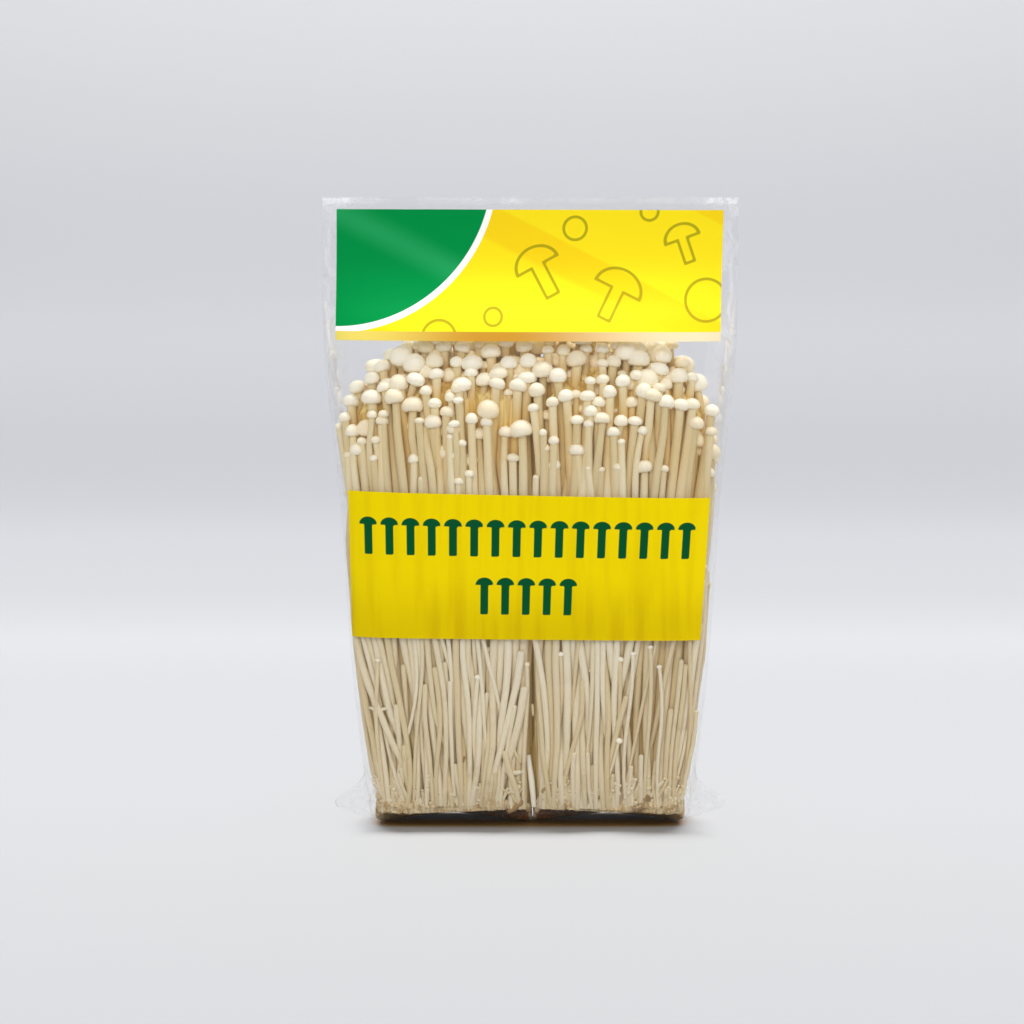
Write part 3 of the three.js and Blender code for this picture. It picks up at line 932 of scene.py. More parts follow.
def mat_finish():
    """Beige and fibrous with brown dirt, and a dark brown painted shadow along the lower edge."""
    s = Shader("root mat")
    fine = s.noise(420, 5)
    fibres = s.noise(1.0, 4, s.stretched((1500, 1500, 260)))
    beige = s.mix(s.ranged(fibres, 0.36, 0.64), colour("d0ac72"), colour("f2e0b8"))
    dirt = s.ranged(s.noise(190, 6), 0.55, 0.68, 0, 0.8)
    brown = s.mix(dirt, beige, colour("8a6534"))
    across = s.add("ShaderNodeSeparateXYZ", Vector=s.place()).outputs["X"]
    # painted shadow: dark brown on the underside and the lowest edge, darkest from the seam to 14 mm left
    # of it
    middle = s.ranged(s.math("ABSOLUTE", s.math("ADD", across, 0.006)), 0.03, 0.008)
    under = s.mix(middle, colour("a08453"), colour("7a4c12"))
    dirt_and_under_shade = s.mix(s.ranged(s.attribute("low"), 0.86, 0.99), brown, under)
    return flesh(s, dirt_and_under_shade, 0.85, s.bump(s.math("ADD", fine, fibres), 0.0012, 1.0))


MAT = mat_finish()
print("nodes in the mat's finish:", len(MAT.node_tree.nodes))

# %% [markdown]
# ## Growing the stems
#
# Each shoot becomes a chain of points with its own thickness. Geometry Nodes turn the chains into
# smooth curves and sweep a small circle along them. One tree serves both clumps. A curve object with a
# round bevel would do the same for one stem, but it can't carry the colours and depths of the points.

# %% Tools for geometry trees


def new_tree(name, inputs):
    """A geometry tree with named inputs, and the ids that a modifier needs to set them."""
    tree = bpy.data.node_groups.new(name, "GeometryNodeTree")
    tree.interface.new_socket("Geometry", in_out="INPUT", socket_type="NodeSocketGeometry")
    ids = {}
    for label, kind in inputs.items():
        ids[label] = tree.interface.new_socket(label, in_out="INPUT", socket_type=kind).identifier
    tree.interface.new_socket("Geometry", in_out="OUTPUT", socket_type="NodeSocketGeometry")
    return tree, ids


class Tree:
    """Short ways to add and join the nodes of a geometry tree."""

    def __init__(self, name, inputs):
        self.tree, self.ids = new_tree(name, inputs)
        self.source = self.add("NodeGroupInput")
        self.target = self.add("NodeGroupOutput")

    def add(self, kind, settings=None, inputs=None):
        node = self.tree.nodes.new(kind)
        for key, value in (settings or {}).items():
            setattr(node, key, value)
        for key, value in (inputs or {}).items():
            if isinstance(value, bpy.types.NodeSocket):
                self.tree.links.new(value, node.inputs[key])
            else:
                node.inputs[key].default_value = value
        return node

    def named(self, name, kind):
        node = self.add("GeometryNodeInputNamedAttribute", {"data_type": kind}, {"Name": name})
        return node.outputs["Attribute"]

    def finish(self, geometry):
        """Ends the tree: real faces, smooth shading and the material."""
        real = self.add("GeometryNodeRealizeInstances", inputs={"Geometry": geometry})
        smooth = self.add("GeometryNodeSetShadeSmooth", inputs={"Geometry": real.outputs[0]})
        painted = self.add(
            "GeometryNodeSetMaterial",
            inputs={"Geometry": smooth.outputs[0], "Material": self.source.outputs["Material"]},
        )
        self.tree.links.new(painted.outputs[0], self.target.inputs[0])

    def grow(self, source, name, values):
        """Runs the tree on an object and returns the result as a plain mesh of its own."""
        modifier = source.modifiers.new("grow", "NODES")
        modifier.node_group = self.tree
        for label, value in values.items():
            modifier[self.ids[label]] = value
        evaluated = source.evaluated_get(bpy.context.evaluated_depsgraph_get())
        mesh = bpy.data.meshes.new_from_object(evaluated)
        mesh.name = name
        bpy.data.objects.remove(source)
        piece = bpy.data.objects.new(name, mesh)
        bpy.context.scene.collection.objects.link(piece)
        return piece


# %% A tree that sweeps stems
SWEEP_INPUTS = {
    "Sides": "NodeSocketInt",
    "Smoothness": "NodeSocketInt",
    "Material": "NodeSocketMaterial",
}
sweep = Tree("sweep stems", SWEEP_INPUTS)
chain = sweep.add("GeometryNodeMeshToCurve", inputs={"Mesh": sweep.source.outputs["Geometry"]})
spline = sweep.add(
    "GeometryNodeCurveSplineType",
    {"spline_type": "CATMULL_ROM"},
    {"Curve": chain.outputs[0]},
)
fine = sweep.add(
    "GeometryNodeSetSplineResolution",
    inputs={"Geometry": spline.outputs[0], "Resolution": sweep.source.outputs["Smoothness"]},
)
ring = sweep.add(
    "GeometryNodeCurvePrimitiveCircle",
    inputs={"Resolution": sweep.source.outputs["Sides"], "Radius": 1.0},
)
tube = sweep.add(
    "GeometryNodeCurveToMesh",
    inputs={
        "Curve": fine.outputs[0],
        "Profile Curve": ring.outputs[0],
        "Scale": sweep.named("thickness", "FLOAT"),
        "Fill Caps": True,
    },
)
sweep.finish(tube.outputs[0])
print("nodes in the tree:", len(sweep.tree.nodes))

# %% Stems as chains of points
POINT_STEP = 9.0
NECK = 0.12
NECK_FROM = 16
NECK_TO = 2
DEPTH_FROM = 2.2
DEPTH_TO = 8


def depth_inside(place):
    """How deep a place lies inside the bunch, from 0 at the film and at the crown's top to 1."""
    x, y, z = place
    to_front = float(bag_depth(x, z)) - abs(y)
    to_side = float(through(HALF_WIDTH, z)) - abs(x)
    to_top = 0.7 * (float(crown_at(x, y)) - z)
    return float(smoothstep(min(to_front, to_side, to_top), DEPTH_FROM, DEPTH_TO))


def domed(tip, aim, radius):
    """The rings that round off a blunt end, closer and closer together."""
    steps = ((-3.2, 1), (-1.1, 1), (-0.3, 1), (0, 1), (0.28, 0.93), (0.55, 0.74), (0.75, 0.42))
    return [(tip + aim * radius * up, radius * across) for up, across in steps]


def stem_rings(i):
    """The places and radii up one shoot."""
    top = heights[i] + caps[i] * 0.35
    count = max(3, round((top - starts[i]) / POINT_STEP))
    rings = []
    for k in range(count + 1):
        z = starts[i] + (top - starts[i]) * k / count
        near_cap = float(smoothstep(z, heights[i] - NECK_FROM, heights[i] - NECK_TO)) * (caps[i] > 0)
        rings.append((place_at(i, z), stems[i] * float(taper_at(z)) * (1 - NECK * near_cap)))
    if caps[i] == 0:
        (before, _), (tip, radius) = rings[-2:]
        rings = rings[:-1] + domed(tip, (tip - before) / np.linalg.norm(tip - before), radius)
    return rings


print("points of the first stem:", len(stem_rings(0)))

# %% [markdown]
# ## Buds and scraps at the foot
#
# The skin of a real mat is rough with buds that never grew, and broken bits lie against the film. The
# buds are drawn at random round the mat. The few scraps that stand out are listed one by one. Both are
# chains too, so the same tree makes them.

# %% Buds on the mats
NUB_COUNT = 210
NUB_LENGTH = (2.0, 6.5)
NUB_RADIUS = (0.35, 0.8)
NUB_HEIGHT = (4.5, 10.5)
NUB_FROM_SEAM = 2.6


def nub_rings(side, draw):
    """A stunted bud on the skin of the root mat."""
    share = draw()
    radius = between(NUB_RADIUS, draw() ** 2)
    z = between(NUB_HEIGHT, draw())
    length = between(NUB_LENGTH, draw())
    root = way_round(side, z, radius + 1.1, share)
    out = way_round(side, z, radius, share) - root
    aim = np.array([out[0] + draw() - 0.5, out[1], 1.2 + 1.6 * draw()])
    aim[0] += (draw() - 0.5) * 0.7
    aim /= np.linalg.norm(aim)
    start = np.array([*root, z])
    tip = start + aim * length
    tip[0] = side * min(side * tip[0], float(room_width(z)) - radius)
    tip[1] = np.clip(tip[1], radius - room_depth(tip[0], z), room_depth(tip[0], z) - radius)
    return [(start, radius * 0.9), (start + aim * 0.4 * radius, radius)] + domed(tip, aim, radius)[1:]


print("points of a bud:", len(nub_rings(-1, random_stream(1))))

# %% Scraps and crumbs inside the film
# Each row: where a scrap starts and ends, across and up, its radius, and its tone, where 2 is brown.
SCRAPS = [
    (-8.2, 17, -2.6, 16.2, 0.8, 0), (-5.4, 24.6, -3, 19.2, 0.4, 0.9), (-47.7, 35.4, -42.3, 35.6, 0.5, 0),
    (-6.2, 4.4, -2.6, 7.2, 1.0, 1.8), (-9.9, 12.6, -5.6, 9.6, 0.5, 1.1), (-5.6, 9.6, -4, 6.8, 0.5, 1.1),
    (-21.4, 15.2, -20.6, 16.8, 0.4, 2), (-19.8, 19.4, -19.6, 20.8, 0.35, 2),
    (-20.6, 12.2, -19.4, 13, 0.45, 1.6), (-39.8, 41.2, -38.2, 37.8, 0.25, 1.8),
    (-34.8, 11.4, -33.4, 11, 0.3, 2), (3.9, 10.4, 4.6, 11.4, 0.7, 1.7),
    (5.2, 12.2, 6.4, 13, 0.6, 1.5), (5.6, 8.8, 6.8, 9.4, 0.6, 2), (11.2, 12.8, 12.4, 13.8, 0.5, 1.4),
    (12.6, 9.2, 13.4, 10, 0.5, 1.7), (19.6, 8, 20.8, 8.8, 0.45, 2), (30, 15.4, 31, 14.8, 0.4, 1.5),
    (-45.6, 9.4, -44.6, 8.2, 0.5, 1.4), (44.4, 33, 44.2, 35, 0.35, 1.5), (-14.6, 8.4, -13.2, 9, 0.5, 1.5),
    (-27.2, 9.6, -26, 9.2, 0.5, 1.3), (40.2, 10, 40.9, 12.4, 0.5, 1.4), (0.9, 33.5, 0.7, 36.5, 0.35, 1.2),
]


def scrap_rings(row):
    """A scrap or a crumb that lies against the inside of the film."""
    x1, z1, x2, z2, radius, _ = row
    ends = []
    for x, z in ((x1, z1), (x2, z2)):
        ends.append(np.array([x, radius + 0.2 - float(room_depth(abs(x), z)), z]))
    middle = (ends[0] + ends[1]) / 2 + np.array([0, 0.1, -0.12 * abs(x2 - x1)])
    aim = (ends[1] - middle) / np.linalg.norm(ends[1] - middle)
    back = (ends[0] - middle) / np.linalg.norm(ends[0] - middle)
    first = [(place, size * 0.9) for place, size in domed(ends[0], back, radius)[::-1][:4]]
    return first + [(middle, radius)] + domed(ends[1], aim, radius)[3:]


print("scraps:", len(SCRAPS))

# %% Grow the stems of both clumps


def stem_chains(side, name):
    """The chains of one clump as an object of edges, with a thickness and colours for each point."""
    draw = random_stream(611 if side < 0 else 977)
    chains = [stem_rings(i) for i in np.nonzero(sides == side)[0]]
    nubs = [nub_rings(side, draw) for _ in range(NUB_COUNT)]
    chains += [nub for nub in nubs if min(abs(place[0] - SEAM_X) for place, _ in nub) > NUB_FROM_SEAM]
    shades = [draw() for _ in chains]
    near = [row for row in SCRAPS if side * (row[0] - SEAM_X) > 0]
    chains += [scrap_rings(row) for row in near]
    shades += [row[-1] for row in near]
    points, edges, thickness, tones, depths = [], [], [], [], []
    for rings, tone in zip(chains, shades):
        for k, (place, radius) in enumerate(rings):
            points.append(place)
            thickness.append(radius * MM)
            tones.append(tone)
            depths.append(depth_inside(place))
            if k:
                edges.append((len(points) - 2, len(points) - 1))
    source = mesh_piece(name, points, edges=edges, smooth=False)
    store(source, "thickness", "FLOAT", thickness)
    store(source, "tone", "FLOAT", tones)
    store(source, "depth", "FLOAT", depths)
    return source


def grow_stems(side, name):
    """The stems, buds and scraps of one clump as one plain mesh."""
    values = {"Sides": 8, "Smoothness": 2, "Material": STEM}
    return sweep.grow(stem_chains(side, name + " chains"), name, values)


stems_left = grow_stems(-1, "stems_left")
stems_right = grow_stems(1, "stems_right")
print("faces of the stems:", len(stems_left.data.polygons), len(stems_right.data.polygons))

# %% [markdown]
# ## The caps
#
# A cap is a small dome with its rim rolled in. Four shapes are turned on a lathe, round, flat, tall and
# lopsided, and Geometry Nodes set one on the end of each stem, in its own size and tilt. Modelling each
# cap by hand would take days, and four shapes in many sizes already look like many.

# %% Turn the cap shapes
CAP_SIDES = 12
CAP_STEPS = 4
RIM = [(0.93, 0.2), (0.7, 0.02), (0.34, 0.06)]
CAP_SHAPES = {"round": (0.86, 0), "flat": (0.72, 0), "tall": (1.0, 0), "lopsided": (0.84, 0.1)}


def cap_shape(name, rise, skew):
    """A cap of radius 1 whose rolled rim starts at height 0."""
    arc = [i / CAP_STEPS * math.pi / 2 for i in range(1, CAP_STEPS + 1)]
    profile = [(math.sin(a), CAP_EQUATOR + rise * math.cos(a)) for a in arc] + RIM
    points = [(skew * 0.4, 0, CAP_EQUATOR + rise)]
    for r, z in profile:
        for k in range(CAP_SIDES):
            turn = 2 * math.pi * k / CAP_SIDES
            x, y = r * math.cos(turn), r * math.sin(turn)
            points.append((x + skew * z * 0.4, y, z + skew * r * math.cos(turn) * 0.3))
    faces = [(0, 1 + k, 1 + (k + 1) % CAP_SIDES) for k in range(CAP_SIDES)]
    for row in range(len(profile) - 1):
        for k in range(CAP_SIDES):
            a, b = (1 + row * CAP_SIDES + i for i in (k, (k + 1) % CAP_SIDES))
            faces.append((a, a + CAP_SIDES, b + CAP_SIDES, b))
    faces.append(tuple(range(len(points) - CAP_SIDES, len(points)))[::-1])
    shape = mesh_piece(name, np.array(points) / MM, faces)
    shape.hide_render = True
    return shape


shapes = [cap_shape("cap " + name, *values) for name, values in CAP_SHAPES.items()]
print("cap shapes and the faces of one:", len(shapes), len(shapes[0].data.polygons))

# %% A tree that sets the caps on their stems
crown = Tree("set caps", {"Material": "NodeSocketMaterial"})
choices = crown.add("GeometryNodeJoinGeometry")
for shape in shapes:
    info = crown.add("GeometryNodeObjectInfo", inputs={"Object": shape})
    single = crown.add("GeometryNodeGeometryToInstance", inputs={"Geometry": info.outputs["Geometry"]})
    crown.tree.links.new(single.outputs[0], choices.inputs[0])
set_caps = crown.add(
    "GeometryNodeInstanceOnPoints",
    inputs={
        "Points": crown.source.outputs["Geometry"],
        "Instance": choices.outputs[0],
        "Pick Instance": True,
        "Instance Index": crown.named("shape", "INT"),
        "Rotation": crown.named("turn", "FLOAT_VECTOR"),
        "Scale": crown.named("size", "FLOAT_VECTOR"),
    },
)
crown.finish(set_caps.outputs[0])
print("nodes in the tree:", len(crown.tree.nodes))

# %% Set the caps of both clumps
TILT = 0.2
TIP_LENGTH = 8


def cap_points(side, name):
    """One point for each cap of a clump, with its turn, size and shape."""
    draw = random_stream(2003 if side < 0 else 4003)
    points, turns, sizes, tones, picks, depths = [], [], [], [], [], []
    for i in np.nonzero((sides == side) & (caps > 0))[0]:
        tip = place_at(i, heights[i])
        aim = Vector(tip - place_at(i, heights[i] - TIP_LENGTH)).normalized()
        aim = (aim + Vector((draw() - 0.5, draw() - 0.5, 0)) * 2 * TILT).normalized()
        spin = Euler((0, 0, draw() * 2 * math.pi)).to_matrix()
        turn = (aim.to_track_quat("Z", "Y").to_matrix() @ spin).to_euler()
        wide = caps[i] * (0.96 + 0.08 * draw())
        points.append(tip)
        turns.append(turn[:])
        sizes.append((wide, caps[i], caps[i] * (0.92 + 0.2 * draw())))
        tones.append(draw() ** 2 * 0.6)
        picks.append(int(draw() * len(shapes)))
        depths.append(depth_inside(tip))
    dots = mesh_piece(name, points, smooth=False)
    store(dots, "turn", "FLOAT_VECTOR", turns)
    store(dots, "size", "FLOAT_VECTOR", np.array(sizes) * MM)
    store(dots, "tone", "FLOAT", tones)
    store(dots, "depth", "FLOAT", depths)
    layer = dots.data.attributes.new("shape", "INT", "POINT")
    layer.data.foreach_set("value", picks)
    return dots


caps_left = crown.grow(cap_points(-1, "left cap points"), "caps_left", {"Material": CAP})
caps_right = crown.grow(cap_points(1, "right cap points"), "caps_right", {"Material": CAP})
for shape in shapes:
    bpy.data.objects.remove(shape)
print("faces of the caps:", len(caps_left.data.polygons), len(caps_right.data.polygons))

# %% [markdown]
# ## The heart of each clump
#
# Behind the outer stems a real bunch is solid with more stems. They are too deep to be told apart, so
# one body of rings stands for them, striped like stems. It keeps the gaps between the outer stems from
# turning into holes, and it costs far less than growing hundreds of stems that nobody can see.

# %% One body behind the stems
CORE_INSET = 4.4
CORE_WALL = (5, 112)
CORE_WALL_RINGS = 12
CORE_TOP_RINGS = 7
CORE_UNDER_CROWN = 8
CORE_POINTS = 60
CORE_SEAM = 0.1
CORE_BACK = 10


def core_place(side, z, inset, share):
    """A place round the core. Behind the front rows its inner face follows the seam."""
    x, y = way_round(side, z, inset, share)
    meeting = float(smoothstep(y, -11.5, -9)) * float(smoothstep(18 - abs(y), 0, 4))
    near = side * (x - SEAM_X) < inset + 1.5
    if near:
        x += (seam_at(y) + side * CORE_SEAM - x) * meeting
    return x, y


def clump_core(side, name):
    """Rings that rise along the wall and then draw in under the crown."""
    rings = [(CORE_INSET, k / CORE_WALL_RINGS) for k in range(CORE_WALL_RINGS)]
    rings += [(CORE_INSET + CORE_BACK * (k / CORE_TOP_RINGS) ** 1.5, 1) for k in range(CORE_TOP_RINGS + 1)]
    points = []
    for inset, rise in rings:
        for i in range(CORE_POINTS):
            z = between(CORE_WALL, rise)
            x, y = core_place(side, z, inset, i / (CORE_POINTS - 1))
            under = float(crown_at(x, y)) - CORE_UNDER_CROWN
            points.append((x, y, under if rise == 1 else min(z, under)))
    faces = ring_faces(len(rings), CORE_POINTS)
    last = (len(rings) - 1) * CORE_POINTS
    faces.append(tuple(range(CORE_POINTS))[::-1])
    faces.append(tuple(range(last, last + CORE_POINTS)))
    if side < 0:
        faces = [face[::-1] for face in faces]
    core = mesh_piece(name, points, faces)
    core.data.materials.append(CORE)
    return core


core_left = clump_core(-1, "core_left")
core_right = clump_core(1, "core_right")
print("faces of a core:", len(core_left.data.polygons))

# %% [markdown]
# ## The root mats
#
# At the foot all stems grow out of one felted mat: a low block with a rough, crumbly skin, cut flat
# below, whose front edge curls up a little. A sculpted block would look the same. Here the skin is a
# stack of rings moved in and out by noise, so its roughness is real and shows in the outline too.

# %% A point of the mat's skin
MAT_CORNER = 0.24
EDGE_RISE = 2.4
ARCH = 1.6
CRUMBS = 5.0
CRUMB_SCALE = 0.24
ROUGH_SCALE = 0.7


def mat_point(side, outer, deep, share, turn):
    """A point of the skin, at a share of the mat's height and a turn round it."""
    half = (outer - SEAM_X * side) / 2
    middle = SEAM_X + side * half
    bulge = 1 - 0.05 * abs(2 * share - 1) ** 5
    c, s = math.cos(turn), math.sin(turn)
    x = middle + half * bulge * math.copysign(abs(c) ** MAT_CORNER, c)
    y = deep * bulge * math.copysign(abs(s) ** MAT_CORNER, s)
    edge_on = float(smoothstep(-y, 0.55 * deep, 0.9 * deep)) * (1 - share) ** 1.5
    arch = (EDGE_RISE + ARCH * float(smoothstep(outer - side * x, 0, 2 * half))) * edge_on
    lumps = noise.noise(Vector((x * CRUMB_SCALE, y * CRUMB_SCALE, side)))
    crumbs = CRUMBS * share**2 * max(0, 0.15 + 1.2 * lumps)
    z = MAT_BOTTOM + (MAT_TOP - MAT_BOTTOM) * share + arch + crumbs
    rough = noise.fractal(Vector((x, y, z * 1.4)) * ROUGH_SCALE, 0.8, 2.0, 4)
    inner = float(smoothstep(side * (middle - x), 0.2 * half, 0.8 * half))
    open_in_front = 1 - float(smoothstep(y, -13, -10))
    closing = inner * (0.1 + (float(seam_gap(y, 0)) - 0.1) * open_in_front)
    x += side * closing - 0.8 * abs(rough) * c
    z = max(z + 0.9 * rough * (0.6 + 0.5 * share), MAT_BOTTOM)
    return x, y - 1.1 * abs(rough) * s, z


print("a point low on the front:", [round(v, 2) for v in mat_point(1, 46, 13, 0, -math.pi / 2)])

# %% Two rough mats
MAT_STEP = 0.5
MAT_RINGS = 16
MAT_LEVEL = 4


def root_mat(side, name):
    """A low block with a crumbly skin, lower edges that curl up, and a gap towards the other mat."""
    outer = float(room_width(MAT_LEVEL))
    half = (outer - SEAM_X * side) / 2
    deep = float(room_depth(0, MAT_LEVEL))
    around = int((4 * half + 4 * deep) / MAT_STEP)
    points, lows = [], []
    for k in range(MAT_RINGS + 1):
        for i in range(around):
            points.append(mat_point(side, outer, deep, k / MAT_RINGS, 2 * math.pi * i / around))
            lows.append(1 - k / MAT_RINGS)
    faces = ring_faces(MAT_RINGS + 1, around)
    for ring, turned in ((0, True), (MAT_RINGS, False)):
        rim = list(range(ring * around, (ring + 1) * around))
        centre = len(points)
        points.append(np.mean([points[i] for i in rim], axis=0))
        lows.append(float(turned))
        pairs = zip(rim, rim[1:] + rim[:1])
        faces += [(b, a, centre) if turned else (a, b, centre) for a, b in pairs]
    mat = mesh_piece(name, points, faces)
    store(mat, "low", "FLOAT", lows)
    mat.data.materials.append(MAT)
    return mat


mat_left = root_mat(-1, "mat_left")
mat_right = root_mat(1, "mat_right")
print("faces of the mats:", len(mat_left.data.polygons), len(mat_right.data.polygons))

# %% [markdown]
# ## The film bag
#
# Clear film shows only by what it reflects: thin bright lines along its folds, and a faint grey where
# two layers lie on each other. A glass shader would bend the view behind it, which film this thin does
# not do. So the skin is see-through, with a mirror that grows at flat angles and a haze on its creases.

# %% Film material
FILM_GLOSS = 0.55
FILM_VEIL = 0.015


def film_finish():
    """See-through, hazy on its creases, and glossy, but hardly so where it lies on the floor."""
    s = Shader("clear film")
    mirror = s.add("ShaderNodeBsdfPrincipled", Base_Color=(1, 1, 1, 1), Metallic=1.0, Roughness=0.07)
    haze = s.add("ShaderNodeBsdfPrincipled", Base_Color=colour("f6f8fa"), Roughness=0.6)
    clear = s.add("ShaderNodeBsdfTransparent", Color=colour("fdfdfd"))
    soft = s.ranged(s.attribute("crease"), 0.1, 0.9, FILM_VEIL, 0.22)
    creased = s.math("ADD", soft, s.ranged(s.attribute("crease"), 0.9, 1.8, 0, 0.5))
    veil = s.add("ShaderNodeMixShader")
    s.set(veil, "0", creased)
    s.set(veil, "1", clear.outputs[0])
    s.set(veil, "2", haze.outputs[0])
    fresnel = s.add("ShaderNodeFresnel", IOR=1.45)
    height = s.add("ShaderNodeSeparateXYZ", Vector=s.place()).outputs["Z"]
    shine = s.math("MULTIPLY", fresnel.outputs[0], s.ranged(height, 0.001, 0.009, 0.12, FILM_GLOSS))
    gloss = s.math("MINIMUM", shine, 0.3)
    skin = s.add("ShaderNodeMixShader")
    s.set(skin, "0", gloss)
    s.set(skin, "1", veil.outputs[0])
    s.set(skin, "2", mirror.outputs[0])
    return s.finish(skin.outputs[0])


FILM = film_finish()
print("nodes in the film's finish:", len(FILM.node_tree.nodes))

# %% [markdown]
# ## The skin and its creases
#
# The bag is packed tight, so its creases are fine: crumpled ears at the foot, ripples along the side
# folds, and a crimped edge at the top. A cloth simulation would crumple it afresh each time it is tuned.
# Here the creases are sharp ridges of a noise, set where a real bag has them and built into the mesh.

# %% Creases


def ridges(x, z, scale, seed):
    """Sharp wandering lines: 1 along a line and near 0 between them."""
    value = noise.noise(Vector((x * scale, z * scale * 0.6, seed))) * 2.2
    return max(0, 1 - abs(value)) ** 3


def crease(x, z, face):
    """How far the film stands in from its smooth shape, in millimetres, and how milky a crease is."""
    # the zones: side folds, lower corners, and the pressed head
    margin = float(smoothstep(abs(x), 50, 60))
    foot = 1 - float(smoothstep(z, 4, 26))
    corner = foot * float(smoothstep(abs(x), 38, 50))
    head = float(smoothstep(z, 136, 152))
    # the patterns: long soft waves, sharp lines, and tight crumples
    soft = 0.5 + 0.5 * noise.noise(Vector((x * 0.11, z * 0.03, face * 7.0)))
    sharp = ridges(x, z, 0.2, face * 3.0)
    tight = ridges(x + z * 0.5, z - x * 0.3, 0.42, face * 5.0 + 1)
    depth = 0.25 * soft + (0.35 * margin + 0.15 * head) * sharp + 0.9 * corner * tight
    line = 0.8 * margin * sharp + 1.1 * corner * tight + 0.3 * head * sharp
    # the crimped top edge, and painted glints at its two ends: extra milky haze that stands in for bright
    # reflections
    hem = float(smoothstep(z, 184.6, 185.6)) * max(0, noise.noise(Vector((x * 0.09, 2, face))) + 0.25)
    glint = float(smoothstep(abs(x), 50, 57)) * float(smoothstep(z, 184.2, 186.2)) * (0.2 + tight)
    line += 1.4 * hem + 2.2 * glint
    return depth, line


print("stand-in and milkiness at the foot's corner:", [round(v, 2) for v in crease(48, 3, -1)])

# %% One skin from two panels
COLUMNS = 110
ROWS = 190
FLAP_COLUMNS = 12
FOOT_CURL = 5.0
FOOT_ROUND = 3.6
FLAP_SWAY = 2.4
THINNEST = 0.15


def film_half(face):
    """One panel of film, from the left flap to the right one. face is -1 in front and 1 behind."""
    steps = np.sin(np.linspace(-math.pi / 2, math.pi / 2, COLUMNS + 1))
    rows = np.linspace(0, 1, ROWS + 1) ** 1.25 * BAG_HEIGHT
    grid, lines = [], []
    for z in rows:
        side = float(through(HALF_WIDTH, z))
        reach = float(ear(z))
        inset = FOOT_CURL * max(0, 1 - z / FOOT_ROUND) ** 2
        flap = [side + reach * (k + 1) / FLAP_COLUMNS for k in range(FLAP_COLUMNS)]
        xs = [-v for v in reversed(flap)] + list(steps * side) + flap
        for x in xs:
            deep = float(bag_depth(x, z))
            out, line = crease(x, z, face)
            sway = 0
            if abs(x) > side:
                free = (abs(x) - side) / max(reach, 0.01)
                # the free flap thins out towards its edge and waves to and fro
                deep = FILM_EDGE * (1 - 0.7 * free) + 0.2
                wave = noise.noise(Vector((x * 0.3, z * 0.22, 2)))
                sway = FLAP_SWAY * free * wave * min(1, reach / 4)
                out *= 0.3
                line = 0.15 + 0.7 * ridges(x, z, 0.5, 8)
            deep = max(deep - inset - out, THINNEST)
            grid.append((x * (1 - inset / 60), face * deep + sway, z))
            lines.append(line)
    shape = (ROWS + 1, len(xs))
    return np.array(grid).reshape(*shape, 3), np.array(lines).reshape(shape)


def film_skin():
    """Both panels, joined along their side folds and across the foot."""
    (front, front_lines), (back, back_lines) = film_half(-1), film_half(1)
    wide = front.shape[1]
    ring = np.concatenate([front, back[:, ::-1]], axis=1)
    around = ring.shape[1]
    faces = ring_faces(ring.shape[0], around)
    for i in range(wide - 1):
        faces.append((i, around - 1 - i, around - 2 - i, i + 1))
    skin = mesh_piece("film", ring.reshape(-1, 3), faces)
    store(skin, "crease", "FLOAT", np.concatenate([front_lines, back_lines[:, ::-1]], axis=1))
    return skin


film = film_skin()
film.data.materials.append(FILM)
print("faces of the film:", len(film.data.polygons))

# %% [markdown]
# ## The printed panels
#
# The header and the band are printed sheets that lie on the film. Each is a fine grid laid on the
# bag's front. The print could be an image texture, but here it is worked out instead: every point of
# the grid keeps its signed distance, in millimetres, to the outline of the nearest printed mark. The
# shader draws an edge where that distance passes zero, so edges stay sharp at any size.

# %% Lay a sheet on the front of the bag
PRINT_LIFT = 0.35
HEADER = [(-57.8, 145), (56.4, 144.6), (57.6, 183.3), (-57.6, 183.6)]
HEADER_SIZE = (115, 38.5)
BAND = [(-53, 57), (50.6, 56), (53.4, 98.4), (-54, 100.6)]
BAND_SIZE = (105, 43)
PRINT_STEP = 0.5


def printed_sheet(name, corners, size, ripple):
    """A grid between four corners, laid on the film. Also gives its flat coordinates in millimetres."""
    columns, rows = (round(length / PRINT_STEP) for length in size)
    u, v = np.meshgrid(np.linspace(0, 1, columns + 1), np.linspace(0, 1, rows + 1))
    (ax, az), (bx, bz), (cx, cz), (dx, dz) = corners
    x = (ax + (bx - ax) * u) * (1 - v) + (dx + (cx - dx) * u) * v
    z = (az + (bz - az) * u) * (1 - v) + (dz + (cz - dz) * u) * v
    inward = np.array([[ripple(*place) for place in zip(*line)] for line in zip(x, z)])
    y = -bag_depth(x, z) - PRINT_LIFT + inward
    faces = []
    for r in range(rows):
        for c in range(columns):
            a = r * (columns + 1) + c
            faces.append((a, a + 1, a + columns + 2, a + columns + 1))
    sheet = mesh_piece(name, np.stack([x, y, z], axis=-1).reshape(-1, 3), faces)
    return sheet, u * size[0], v * size[1]


def header_ripple(x, z):
    """Hardly any, because the header is printed on the stiff, pressed head of the bag."""
    return 0.12 * noise.noise(Vector((x * 0.05, z * 0.05, 0)))


def band_ripple(x, z):
    """The band shows the stems under it, and is slack along its lower edge."""
    low = 1 - float(smoothstep(z, 56, 84))
    stems_under = noise.noise(Vector((x * 0.22, z * 0.02, 5)))
    return 0.18 * stems_under + 0.5 * low * noise.noise(Vector((x * 0.16, z * 0.09, 9)))


print("ripple of the band at its lower edge:", round(band_ripple(10, 57), 2), "mm")

# %% Distances to a mark


